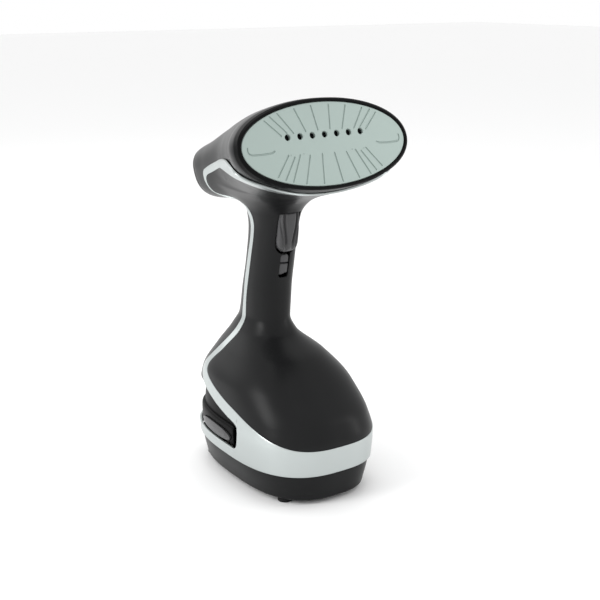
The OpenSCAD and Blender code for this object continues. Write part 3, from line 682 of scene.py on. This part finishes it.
split_angle = float(body_angle(SPLIT_Y, SPLIT_Z))
angles = np.linspace(-np.pi / 2, split_angle, 60)
top = edge_height(angles)
top[0] = edge.at(edge_start)[1]
share = (SPLIT_Z - BAND_LOW) / (top[-1] - BAND_LOW)
split = BAND_LOW + (top - BAND_LOW) * share
low_k, high_k = np.linspace(0, 1, 10), np.linspace(0, 1, 9)
lower = BAND_LOW + (split - BAND_LOW)[None] * low_k[:, None]
upper = split[None] + (top - split)[None] * high_k[:, None]
band = Build()
for zs in (lower, upper):
    g = body_point(zs, angles[None])
    g[:, 0, 0] = 0
    band.grid(mirrored(push(g, BAND_PROUD)))

corner = trim.at(np.linspace(trim.near((-26.1, 46)), trim.near((-19.8, 34)), 14))
corner[0] = (SPLIT_Y, SPLIT_Z)
ca = body_angle(corner[:, 0], corner[:, 1])
ca[0] = split_angle
ca = np.maximum.accumulate(ca)
ra = np.linspace(ca[-1], np.pi / 2, 56)[1:]
col_a = np.concatenate([ca, ra])
col_top = np.concatenate([corner[:, 1], np.full(len(ra), 34.0)])
g = body_point(BAND_LOW + (col_top - BAND_LOW)[None] * low_k[:, None], col_a[None])
g[:, -1, 0] = 0
g = push(g, BAND_PROUD)
band.grid(g).grid(other_side(g), flip=True)

t_on, e_on = trim.near, edge.near
e_split = body_point(top[-1], split_angle)[1:]
# points on the trim's lower edge, and those across the ribbon on the shell's edge
PAIRS = [
    ((-25.9, 51.3), (-20.5, 64.5)), ((-22.7, 54.2), (-15.5, 65.8)), ((-8.4, 57.6), (-3.5, 68.9)),
    ((5, 61.1), (8, 72.5)), ((17.3, 65.1), (16, 75.3)), ((31.6, 70.2), (26, 79.3)),
    ((40.6, 74.7), (31.3, 82)), ((44.7, 81), (32.9, 86)), ((38, 92), (29, 93)),
    ((28.5, 103.9), (21, 104)), ((24.8, 112.9), (17.9, 113)), ((21.9, 121.5), (16.5, 121.5)),
    ((21.1, 131), (16, 131)), ((18.4, 146), (14.1, 146)), ((16.4, 160), (11.2, 160)),
    ((12.6, 177.3), (7.6, 177.3)), ((8.9, 193.2), (4.3, 193.5)), ((8.1, 203.3), (3.3, 204)),
    ((9.2, 209.3), (4.6, 211.5)), ((15, 215), (9.5, 217.3)), ((25, 219), (18, 221.2)),
    ((33, 221.5), (30, 223.5)), ((38.5, 223.6), (37, 224.6)), ((45, 226.3), (42.4, 226.6)),
    ((47.6, 231.9), (44.1, 232)), ((48.6, 237.7), (43.8, 236)), ((47.4, 241.5), (41.5, 238.5)),
    ((41.6, 244.8), (36, 240.8)), ((23.4, 251.3), (20, 246.4)), ((-3.5, 257.9), (-4, 250.8)),
    ((-23, 260.6), (-21, 250.5)), ((-38, 260), (-33, 249.6)), ((-53, 257), (-42, 249.3)),
    ((-59.5, 253.4), (-50, 249)), ((-65.7, 249.9), (-58, 248)),
    ((-69.2, 247), (-63, 244.9)), ((-69.6, 242), (-65.9, 241)), ((-67.4, 237.8), (-66.3, 237.6))]
keys = [(t_on((SPLIT_Y, SPLIT_Z)), e_on(e_split))] + [(t_on(a), e_on(c)) for a, c in PAIRS]
keys.append((trim_end, edge_end))
PAIR_STEP = 2.2
pairs = spaced(keys, step=PAIR_STEP)
tail_rows = max(3, int(math.ceil(np.abs(np.subtract(keys[-1], keys[-2])).max() / PAIR_STEP)))
tail = len(pairs) - 1 - tail_rows
u = np.linspace(0, 1, 20)[:, None]
last_leg = np.array(keys[-1]) - keys[-2]
pairs = np.vstack([pairs[:tail], np.array(keys[-2]) + last_leg * (1 - (1 - u) ** 2.1)])
w_pts, e_pts = trim.at(pairs[:, 0]), edge.at(pairs[:, 1])
w_pts[0], e_pts[0] = (SPLIT_Y, SPLIT_Z), e_split
# where the lower edge is outside the silhouette, the ribbon starts on the silhouette
off = gap(np.zeros(len(w_pts)), w_pts[:, 0], w_pts[:, 1]) > 0
lo, hi = np.zeros(len(w_pts)), np.ones(len(w_pts))
for _ in range(40):
    mid = (lo + hi) / 2
    q = w_pts + (e_pts - w_pts) * mid[:, None]
    out = gap(np.zeros(len(q)), q[:, 0], q[:, 1]) > 0
    lo, hi = np.where(out, mid, lo), np.where(out, hi, mid)
w_pts = np.where(off[:, None], w_pts + (e_pts - w_pts) * hi[:, None], w_pts)
ease = (1 - np.cos(high_k * np.pi / 2)) ** 1.2
w = np.where(off[:, None], ease[None], high_k[None])
p = w_pts[:, None] + (e_pts - w_pts)[:, None] * w[..., None]
x = solve_x(p[..., 0], p[..., 1])
x[:, 0] = np.where(off, 0, x[:, 0])
x[-1] = 0
ribbon = push(np.stack([x, p[..., 0], p[..., 1]], -1), BAND_PROUD)
ribbon[0] = push(body_point(upper[:, -1], split_angle), BAND_PROUD)
band.grid(ribbon).grid(other_side(ribbon), flip=True)
silver = clean(add("silver_trim_skin", band.v, band.f, "root", "silver_trim", "silver_trim"), 0.02)
shell(silver, 1.5, 0.22)

# rear shell
REAR_LOW, REAR_BEND = 72.3, 200
t0 = trim.near((36.2, 72.3))
t1 = trim.crossing(trim.near((33, 221.5)), trim.near((15, 215)))
z_end = float(trim.at(t1)[1])
closing = 1 - (1 - np.linspace(0, 1, 26)[1:]) ** 1.8
zs = np.concatenate([np.linspace(REAR_LOW, REAR_BEND, 70), REAR_BEND + (z_end - REAR_BEND) * closing])
part = trim.at(np.linspace(t0, t1, 3000))
w_y = np.interp(zs, part[:, 1], part[:, 0])
r_y = value(BODY, zs)[1]
s_pts, w_side = np.stack([r_y, zs], -1), np.stack([w_y, zs], -1)
half = side_rows(s_pts, w_side, 34, 1.25)
half[-1] = half[-1, :1]
b = Build().grid(mirrored(half), flip=True)
rear = clean(add("rear_shell_skin", b.v, b.f, "root", "dark_plastic", "rear_shell"))
shell(rear, 1.8, 0.3)

# ---------------------------------------------------------------- head

ANG = np.linspace(0, 2 * np.pi, 192, endpoint=False)


def ring_grid(stations):
    return head_point(np.array(stations)[:, None], ANG[None])


b = Build().grid(ring_grid(np.linspace(4.6, 137.9, 64)), wrap=True, flip=True)
housing = clean(add("head_housing_skin", b.v, b.f, "root", "dark_plastic", "head_housing"))
shell(housing, 2.2, 0.3)

# rounded rim round the plate
outer_ring = ring_grid([4.4, 3.4, 2.4, 1.4, 0.7, 0.25])
rim_out = np.stack([76 * np.cos(ANG), 33 * np.sin(ANG)], -1)
rim_in = np.stack([73.25 * np.cos(ANG), 30.95 * np.sin(ANG)], -1)
lip = []
for share, high in ((0.02, 0.1), (0.08, 0.36), (0.2, 0.55), (0.4, 0.62), (0.7, 0.6), (0.86, 0.5),
                    (0.96, 0.28), (1.0, -0.05), (1.0, -0.8), (1.0, -2.4)):
    q = rim_out + (rim_in - rim_out) * share
    lip.append(moved([(x, y, high) for x, y in q], AT_PLATE))
b = Build().grid(np.concatenate([outer_ring, np.array(lip)]), wrap=True)
bezel = clean(add("bezel_ring_skin", b.v, b.f, "root", "black_plastic", "bezel_ring"))
bezel.data.materials[0] = MATERIALS["bezel_black"]

# end cap with the holes for the two buttons and the lamp
REAR_SQUARE = 2.5
cap_s = [138.15, 138.5, 139.5, 141, 142.6, 144.2, 145.6, 146.7, 147.5]
cap_rings = ring_grid(cap_s)


def rear_loop(w, h):
    across, up = signed_pow(np.cos(ANG), 2 / REAR_SQUARE), signed_pow(np.sin(ANG), 2 / REAR_SQUARE)
    return [(w * x, h * y, 0.0) for x, y in zip(across, up)]


def circle_loop(cx, cy, r, high, count=48):
    t = np.linspace(0, 2 * np.pi, count, endpoint=False)
    return [(cx + r * math.cos(q), cy + r * math.sin(q), high) for q in t]


def wall_rings(loop, low, place):
    """A loop and its copy at height low, as two rows of a wall."""
    return np.array([moved(loop, place), moved([(x, y, low) for x, y, _ in loop], place)])


BUTTON_R, BUTTON_X, BUTTON_Y, LENS_Y = 5.5, 8.5, 2.0, -9.5
face_loop = rear_loop(18.9, 14.9)
loops = [face_loop]
holes = []
for cx, cy, r in ((-BUTTON_X, BUTTON_Y, BUTTON_R + 0.45), (BUTTON_X, BUTTON_Y, BUTTON_R + 0.45),
                  (0, LENS_Y, 1.75)):
    loops.append(circle_loop(cx, cy, r + 0.35, 0.0))
    loops.append(circle_loop(cx, cy, r, -0.35))
    holes.append(len(loops) - 1)
v, f = panel(loops, holes)
b = Build()
# the rear frame's y runs down, so its angle runs the other way
flip_ring = np.roll(cap_rings[:, ::-1], 1, axis=1)
round_loop = moved(rear_loop(20.2, 16.2), AT_REAR @ Matrix.Translation((0, 0, -0.25)))
edge_rings = np.concatenate([flip_ring, np.array([round_loop, moved(face_loop, AT_REAR)])])
b.grid(edge_rings, wrap=True)
base = len(b.v)
b.v += moved(v, AT_REAR)
b.f += [tuple(base + i for i in t) for t in f]
for h in holes:
    b.grid(wall_rings(loops[h], -5.0, AT_REAR), wrap=True)
clean(add("end_cap_skin", b.v, b.f, "root", "black_plastic", "end_cap"), 0.01)

for name, sx in (("power_button", -1), ("steam_button", 1)):
    place = AT_REAR @ Matrix.Translation((sx * BUTTON_X, BUTTON_Y, 0))
    prof = [(0, 0.75), (1.5, 0.78), (3, 0.9), (4.2, 1.1)] + arc(BUTTON_R - 0.6, 0.6, 0.6, 80, 0) + [
        (BUTTON_R, -4), (BUTTON_R + 1.2, -4), (BUTTON_R + 1.2, -4.2), (0, -4.2)]
    lathe(name + "_cap", prof, place, name, "grey_plastic", name)
lathe("indicator_lens_dome", [(0, 0.5)] + arc(0.4, -0.7, 1.2, 90, 0, 8) + [(1.6, -4), (0, -4)],
      AT_REAR @ Matrix.Translation((0, LENS_Y, 0)), "root", "lens", "indicator_lens", 40)

# ---------------------------------------------------------------- steam plate

PLATE_A, PLATE_B, PLATE_THICK, EDGE_R = 73.0, 30.7, 3.0, 0.7
HOLE_PITCH, HOLE_Y, DIMPLE_Y = 10.93, 6.7, -6.2


def stadium(line, r, high):
    """Closed loop at distance r round an open line of (x, y) points."""
    p = np.array(line, float)
    d = np.diff(p, axis=0)
    d /= np.linalg.norm(d, axis=1, keepdims=True)
    t = np.vstack([d[:1], (d[:-1] + d[1:]) / 2, d[-1:]])
    t /= np.linalg.norm(t, axis=1, keepdims=True)
    nrm = np.stack([-t[:, 1], t[:, 0]], -1)
    left, right = p + nrm * r, p - nrm * r

    def half_turn(centre, a):
        return [centre + r * np.array([math.cos(a + k * np.pi / 6), math.sin(a + k * np.pi / 6)])
                for k in range(1, 6)]

    end = half_turn(p[-1], math.atan2(-nrm[-1][1], -nrm[-1][0]))
    start = half_turn(p[0], math.atan2(nrm[0][1], nrm[0][0]))
    return [(q[0], q[1], high) for q in list(right) + end + list(left[::-1]) + start]


def plate_ring(inset, high):
    return [((PLATE_A - inset) * math.cos(t), (PLATE_B - inset) * math.sin(t), high) for t in ANG]


# grooves of the right half: above the holes, below them, and a hook at the end of the plate
GROOVES = [
    ((5.5, 10.5), (8, 28.0)), ((16.4, 10), (23, 26.6)), ((27.3, 9.5), (38, 24)),
    ((33, 10), (45, 22.2)), ((38, 8), (50, 19.6)),
    ((5.5, -7.3), (8.5, -28.6)), ((16.4, -7.5), (24, -27.2)), ((25, -6.6), (35, -25)),
    ((30, -7.7), (41, -23)), ((35, -6), (47, -20.4)),
    ((68, 1.6), (68.3, -0.6), (67.4, -2.6), (65, -3.5), (57, -3.7), (48.6, -3.3), (46, -2.2))]
loops = [plate_ring(EDGE_R, 0.0)]
for groove in GROOVES:
    for s in (-1, 1):
        line = [(s * x, y) for x, y in groove]
        loops.append(stadium(line, 0.7, 0.0))
        loops.append(stadium(line, 0.28, -0.7))
holes = []
for k in range(-3, 4):
    loops.append(circle_loop(k * HOLE_PITCH, HOLE_Y, 2.75, 0.0, 40))
    loops.append(circle_loop(k * HOLE_PITCH, HOLE_Y, 2.3, -0.5, 40))
    holes.append(len(loops) - 1)
for k in (-3, -2, 2, 3):
    loops.append(circle_loop(k * HOLE_PITCH, DIMPLE_Y, 0.8, 0.0, 20))
    loops.append(circle_loop(k * HOLE_PITCH, DIMPLE_Y, 0.35, -0.3, 20))
v, f = panel(loops, holes)
b = Build()
b.v += moved(v, AT_PLATE)
b.f += list(f)
rounds = []
for q in np.radians([0, 22.5, 45, 67.5, 90]):
    rounds.append(plate_ring(EDGE_R - EDGE_R * math.sin(q), -EDGE_R * (1 - math.cos(q))))
rounds.append(plate_ring(0, -PLATE_THICK))
b.grid(np.array([moved(ring, AT_PLATE) for ring in rounds]), wrap=True)
for h in holes:
    b.grid(wall_rings(loops[h], -PLATE_THICK, AT_PLATE), wrap=True)
back = [rounds[-1]] + [[(x, y, -PLATE_THICK) for x, y, _ in loops[h]] for h in holes]
v, f = panel(back, range(1, len(back)))
base = len(b.v)
b.v += moved(v, AT_PLATE)
b.f += [tuple(base + i for i in t[::-1]) for t in f]
plate = clean(add("steam_plate_face", b.v, b.f, "root", "plate_metal", "steam_plate"), 0.003)
for poly in plate.data.polygons:
    poly.use_smooth = False
# dark discs deep inside the seven steam holes, in the tank's near-black material: painted shade
for k in range(7):
    lathe(f"steam_hole_shade_{k + 1}", [(0, -2.3), (2.2, -2.3), (2.25, -2.35), (2.25, -2.8), (0, -2.8)],
          AT_PLATE @ Matrix.Translation(((k - 3) * HOLE_PITCH, HOLE_Y, 0)),
          "root", "tank_plastic", None, 32)

# ---------------------------------------------------------------- trigger and lock

Z = np.repeat((183.0 + 31.5 * np.linspace(0, 1, 110) ** 1.35)[:, None], 121, 1)
across = np.sin(np.linspace(-np.pi / 2, np.pi / 2, 121))[None]
X = across * trigger_width(Z)
FACE = table([(182.8, -17.6), (184.5, -19.4), (187, -20.6), (191, -21.6), (198, -22.6),
              (205, -23.4), (214.5, -24.2)])
# a raised pad down the middle, then a hollow, a thin ridge and a second hollow on each flank
rise_up = (Z - 184) / 30
hollow_x = 3.0 + 2.6 * rise_up - 0.5 * np.sin(2 * np.pi * rise_up)
side = np.abs(X)
Y = value(FACE, Z)[0] + 0.012 * X ** 2 + 0.11 * np.clip(side - 5.5, 0, None) ** 2
depth = np.clip((Z - 184.5) / 7, 0, 1)
Y += 2.6 * depth * np.exp(-((side - hollow_x) / 1.2) ** 2)
Y += 1.5 * depth * np.exp(-((side - hollow_x - 2.8) / 0.8) ** 2)
Y += 1.4 * np.clip((np.abs(across) - 0.9) / 0.1, 0, 1) ** 3
Y += 1.6 * np.clip((188 - Z) / 5, 0, 1) ** 2 + 0.6 * np.clip((Z - 213.4) / 1.1, 0, 1) ** 2


def backed(name, face, back_y, centre_z, place, body):
    """Solid piece from its front face, closed by walls and a flat back."""
    rim_line = np.concatenate([face[0], face[1:, -1], face[-1, -2::-1], face[-2:0:-1, 0]])
    behind = rim_line.copy()
    behind[:, 1] = back_y
    b = Build().grid(face)
    b.grid(np.stack([rim_line, behind]), wrap=True)
    b.fan(behind, (0, back_y, centre_z))
    return clean(add(name, moved(b.v, place), b.f, body, "grey_plastic", body), 0.003)


backed("trigger_body", np.stack([X, Y, Z], -1), -12.6, 200, Matrix.Identity(4), "trigger")

# the lock: two grey faces with a dark gap between them and a scooped lower end
LOCK_Y = table([(-9.2, -0.9), (-6, -1.25), (0, -1.3), (4, -1.2), (7.6, -0.7)])
Z = np.repeat(np.linspace(-9.2, 7.6, 120)[:, None], 41, 1)
across = np.sin(np.linspace(-np.pi / 2, np.pi / 2, 41))[None]
corner_r = np.clip((np.abs(Z + 0.8) - 6.4) / 2.0, 0, 1)
X = across * 4.0 * (1 - 0.35 * corner_r ** 2)
Y = value(LOCK_Y, Z)[0] + 0.35 * (X / 4) ** 2
Y += 2.6 * np.exp(-((Z - 0.9 + 0.06 * X) / 0.6) ** 4)
scoop = np.hypot(X * 0.9 - 2.2, Z + 11.8) - 4.6
Y += 1.1 * np.clip(-scoop / 1.2, 0, 1)
Y += 0.5 * np.clip((np.abs(across) - 0.88) / 0.12, 0, 1) ** 2 + 0.7 * corner_r ** 3
backed("lock_knob", np.stack([X, Y, Z], -1), 4.0, -1, AT_LOCK, "trigger_lock")

# ---------------------------------------------------------------- base

BASE_TOP = 25.3
SCREWS = ((-31, -36), (31, -36), (-29, 34), (29, 34))
FEET = ((-33, -60), (33, -60), (-25, 54), (25, 54))
prof = [(3.2, -1.9)] + [(3.2 + 1.9 * (1 - math.cos(t)), -1.9 * (1 - math.sin(t)))
                       for t in np.radians([15, 30, 45, 60, 75, 90])]
prof += [(zq, 0.0) for zq in np.linspace(6.5, 24.6, 10)]
prof += [(25.0, -0.06), (25.22, -0.2), (BASE_TOP, -0.45), (BASE_TOP, -2.2)]
skin_rows = np.array([body_point(zq, ANG, g_) for zq, g_ in prof])
b = Build().grid(skin_rows, wrap=True)
loops = [[(p[0], p[1], 3.2) for p in body_point(3.2, ANG, -1.9)]]
holes = []
for cx, cy in SCREWS:
    loops.append(circle_loop(cx, cy, 3.7, 3.2, 36))
    loops.append(circle_loop(cx, cy, 3.4, 3.5, 36))
    holes.append(len(loops) - 1)
v, f = panel(loops, holes)
base = len(b.v)
b.v += v
b.f += [tuple(base + i for i in t[::-1]) for t in f]
for h in holes:
    ring = np.array([(x, y, 5.2) for x, y, _ in loops[h]])
    b.grid(np.array([loops[h], ring]), wrap=True)
    b.fan(ring, (ring[:, 0].mean(), ring[:, 1].mean(), 5.2))
clean(add("lower_base_skin", b.v, b.f, "root", "black_plastic", "lower_base"), 0.004)

for k, (cx, cy) in enumerate(FEET):
    lathe(f"foot_{k + 1}", [(0, 0), (4.4, 0)] + arc(4.8, 0.8, 0.8, -90, 0) + [(5.6, 3.6), (0, 3.6)],
          Matrix.Translation((cx, cy, 0)), "root", "foot_rubber", "base_feet", 48)
prof = [(0, 3.75), (2.2, 3.75)] + arc(2.5, 4.25, 0.5, -90, 0)
prof += [(3.0, 5.1), (1.5, 5.2), (1.5, 10), (0, 10)]
for k, (cx, cy) in enumerate(SCREWS):
    s = lathe(f"screw_{k + 1}", prof, Matrix.Translation((cx, cy, 0)),
              "root", "steel", "base_screws", 40)
    for t in (0, 90):
        tool = box("tool", (-2, 2), (-0.35, 0.35), (3, 4.7), bevel=0, body=None)
        turn = Matrix.Rotation(math.radians(t + 20), 4, "Z")
        tool.data.transform(Matrix.Translation((cx * MM, cy * MM, 0)) @ turn)
        cut(s, tool)
    rounded(s, 0.08, 40, 1)

AT_GLAND = Matrix.Translation((0, 0, 14)) @ turn_x(-90)
prof = [(3.6, 64), (7.0, 64), (7.0, 74.6), (7.0, 76.2)] + arc(6.3, 78.6, 0.7, 0, 90)
prof += arc(4.4, 78.5, 0.8, 90, 180) + [(3.6, 70), (3.6, 64)]
lathe("cord_gland_ring", prof, AT_GLAND, "root", "black_plastic", "cord_gland")

# ---------------------------------------------------------------- tank


def body_stack(z_list, grow_list, clip_y=None, name="tool"):
    """Solid through the body's rings, cut off in front of clip_y."""
    rows_ = np.array([body_point(zq, ANG, gq) for zq, gq in zip(z_list, grow_list)])
    bb = Build().grid(rows_, wrap=True)
    bb.fan(rows_[0], (0, -5, z_list[0]), True)
    bb.fan(rows_[-1], (0, -5, z_list[-1]))
    obj = clean(add(name, bb.v, bb.f, body=None), 0.001)
    if clip_y is not None:
        cut(obj, box("tool2", (-90, 90), (clip_y, 130), (10, 100), bevel=0, body=None), "INTERSECT")
    return obj


LEDGE_FRONT = -16.5
tank_z = np.linspace(34.4, 72.2, 20)
tank = body_stack(tank_z, [-5.0] * 20, name="tank_body_shell")
cut(tank, body_stack(tank_z, [-3.2] * 20, LEDGE_FRONT), "UNION")
lz = [34.4, 34.7, 35.2] + list(np.linspace(36.5, 47.0, 8)) + [48.0, 48.8, 49.4, 49.8, 50.0]
lg = [-1.3, -0.9, -0.7] + [-0.7] * 8 + [-0.85, -1.15, -1.6, -2.3, -3.2]
cut(tank, body_stack(lz, lg, LEDGE_FRONT), "UNION")
cut(tank, box("tool", (-17, 17), (60, 70.9), (49, 70), bevel=0, body=None), "UNION")
side = [(-62, 34.4), (-62, 46.5), (-27, 51), (-18, 53.2), (1, 57.6), (17, 61.1), (33, 66.5),
        (42, 71.2), (95, 71.2), (95, 34.4)]
cut(tank, side_prism(side, -80, 80), "INTERSECT")
cut(tank, box("tool", (-20, 20), (70.9, 95), (50.2, 95), bevel=0, body=None))
cut(tank, box("tool", (-7.8, 7.8), (69.6, 95), (50.2, 55.4), bevel=0, body=None))
cut(tank, lathe("tool", [(0, 40), (6.5, 40), (6.5, 90), (0, 90)],
                Matrix.Translation((0, 0, 62.5)) @ turn_x(-90), body=None))
# the catch, a long oval: its upper and lower edge between LATCH_FRONT and LATCH_REAR
LATCH_FRONT, LATCH_LONG, LATCH_REAR = -12.5, 53.3, 40.8
latch_up = table([(LATCH_FRONT, 39.2), (-12.0, 40.4), (-9, 42), (0, 43.9), (14, 44.4), (28, 43.8),
                  (37, 42), (40.3, 40.4), (LATCH_REAR, 39.6)])
latch_dn = table([(LATCH_FRONT, 39.2), (-12.0, 38.6), (-9, 37), (0, 35.8), (14, 35.2), (28, 35.6),
                  (38, 37), (40.3, 38.9), (LATCH_REAR, 39.6)])


def latch_length(count):
    return LATCH_FRONT + LATCH_LONG * (1 - np.cos(np.linspace(0, np.pi, count))) / 2


def latch_rim(grow):
    """The catch's outline, grown by grow mm, mostly up and down."""
    y = latch_length(60)
    up = np.stack([y, value(latch_up, y)[0]], -1)
    dn = np.stack([y, value(latch_dn, y)[0]], -1)[-2:0:-1]
    p_ = np.vstack([up, dn])
    c = np.array([14, 39.8])
    d = p_ - c
    d[:, 0] *= 0.12
    d /= np.linalg.norm(d, axis=1, keepdims=True)
    return p_ + d * grow


for sx in (-1, 1):
    cut(tank, side_prism(latch_rim(0.4), sx * 43.8, sx * 75))
# the tank's near-black, dull finish is partly its own dark plastic and partly painted shade for the
# shadow deep inside the side windows
tank.data.materials.append(MATERIALS["tank_plastic"])
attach(tank, "tank")
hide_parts("tank_body")
clean(tank, 0.002)
rounded(tank, 0.3, 40, 2)

for sx, side_name in ((-1, "left"), (1, "right")):
    ys = latch_length(72)
    up, dn = value(latch_up, ys)[0], value(latch_dn, ys)[0]
    t = np.linspace(0, 1, 17)
    Zg = dn[None] + (up - dn)[None] * t[:, None]
    Yg = np.repeat(ys[None], 17, 0)
    g = body_point(Zg, body_angle(Yg, Zg), 0.0)
    g[..., 1], g[..., 2] = Yg, Zg
    from_end = np.clip(np.minimum(ys - LATCH_FRONT, LATCH_REAR - ys) / 8, 0, 1)
    crown = 0.55 + 0.6 * (1 - (2 * t[:, None] - 1) ** 2) * from_end[None]
    g = g + np.stack([crown, 0 * crown, 0 * crown], -1)
    if sx < 0:
        g = other_side(g)
    b = Build().grid(g, flip=sx > 0)
    latch_name = f"latch_{side_name}"
    latch = clean(add(latch_name + "_lens", b.v, b.f, latch_name, "grey_plastic", latch_name), 0.01)
    shell(latch, 2.6, 0.3)

box("filler_flap_plate", (-15.5, 15.5), (71.3, 72.8), (55.6, 69.6), 0.5,
    body="flap", slot="dark_plastic", node="filler_flap")
box("filler_flap_lip", (-5, 5), (72.2, 74.0), (67.2, 69.4), 0.6, body="flap", slot="dark_plastic")
box("filler_flap_web", (-7.4, 7.4), (71.3, 72.7), (52.8, 56.4), 0.3,
    body="flap", slot="dark_plastic")
for k in range(3):
    box(f"filler_flap_rib_{k + 1}", (-9, 9), (72.6, 73.2), (58.4 + 2.2 * k, 59.1 + 2.2 * k), 0.25,
        body="flap", slot="dark_plastic")
prof = [(1.05, -7.4)] + arc(1.7, -7.1, 0.3, -90, 0) + arc(1.7, 7.1, 0.3, 0, 90)
lathe("filler_flap_knuckle", prof + [(1.05, 7.4), (1.05, -7.4)],
      Matrix.Translation((0, 72, 53)) @ Matrix.Rotation(math.radians(90), 4, "Y"),
      "flap", "dark_plastic", None, 40)

# ---------------------------------------------------------------- stage, light, camera


def floor():
    mesh = bpy.data.meshes.new("floor")
    mesh.from_pydata([(-8, -8, 0), (8, -8, 0), (8, 8, 0), (-8, 8, 0)], [], [(0, 1, 2, 3)])
    obj = bpy.data.objects.new("floor", mesh)
    scene.collection.objects.link(obj)
    mesh.materials.append(material("floor_white", (0.93, 0.93, 0.93), 0.6))


def area(name, where, at, size, power, color=(1, 1, 1)):
    light = bpy.data.lights.new(name, "AREA")
    light.shape = "RECTANGLE"
    light.size, light.size_y = size
    light.energy = power
    light.color = color
    obj = bpy.data.objects.new(name, light)
    obj.location = where
    obj.rotation_mode = "QUATERNION"
    obj.rotation_quaternion = (Vector(at) - Vector(where)).to_track_quat("-Z", "Y")
    scene.collection.objects.link(obj)


floor()
area("key", (-1.4, 0.15, 0.8), (0, 0, 0.12), (0.5, 0.9), 11)
area("top", (0.1, 0.1, 1.7), (0, 0, 0.1), (0.9, 0.9), 6)
area("right", (1.2, -0.9, 0.5), (0, 0, 0.15), (0.12, 1.0), 3)
area("rear", (-0.4, 1.4, 0.9), (0, 0, 0.15), (1.2, 0.8), 3)
world = bpy.data.worlds.new("studio")
scene.world = world
world.use_nodes = True
world.node_tree.nodes["Background"].inputs["Color"].default_value = (1, 1, 1, 1)
world.node_tree.nodes["Background"].inputs["Strength"].default_value = 1.0
scene.view_settings.view_transform = "Standard"

camera = bpy.data.objects.new("camera", bpy.data.cameras.new("camera"))
scene.collection.objects.link(camera)
CAMERA_AT, CAMERA_AIM = Vector((-514.7, -742.7, 384.7)) * MM, Vector((0, -34.3, 148.4)) * MM
camera.location = CAMERA_AT
camera.rotation_mode = "QUATERNION"
camera.rotation_quaternion = (CAMERA_AIM - CAMERA_AT).to_track_quat("-Z", "Y")
camera.data.lens = 70.7
camera.data.sensor_width = 36
camera.data.clip_start = 0.05
scene.camera = camera
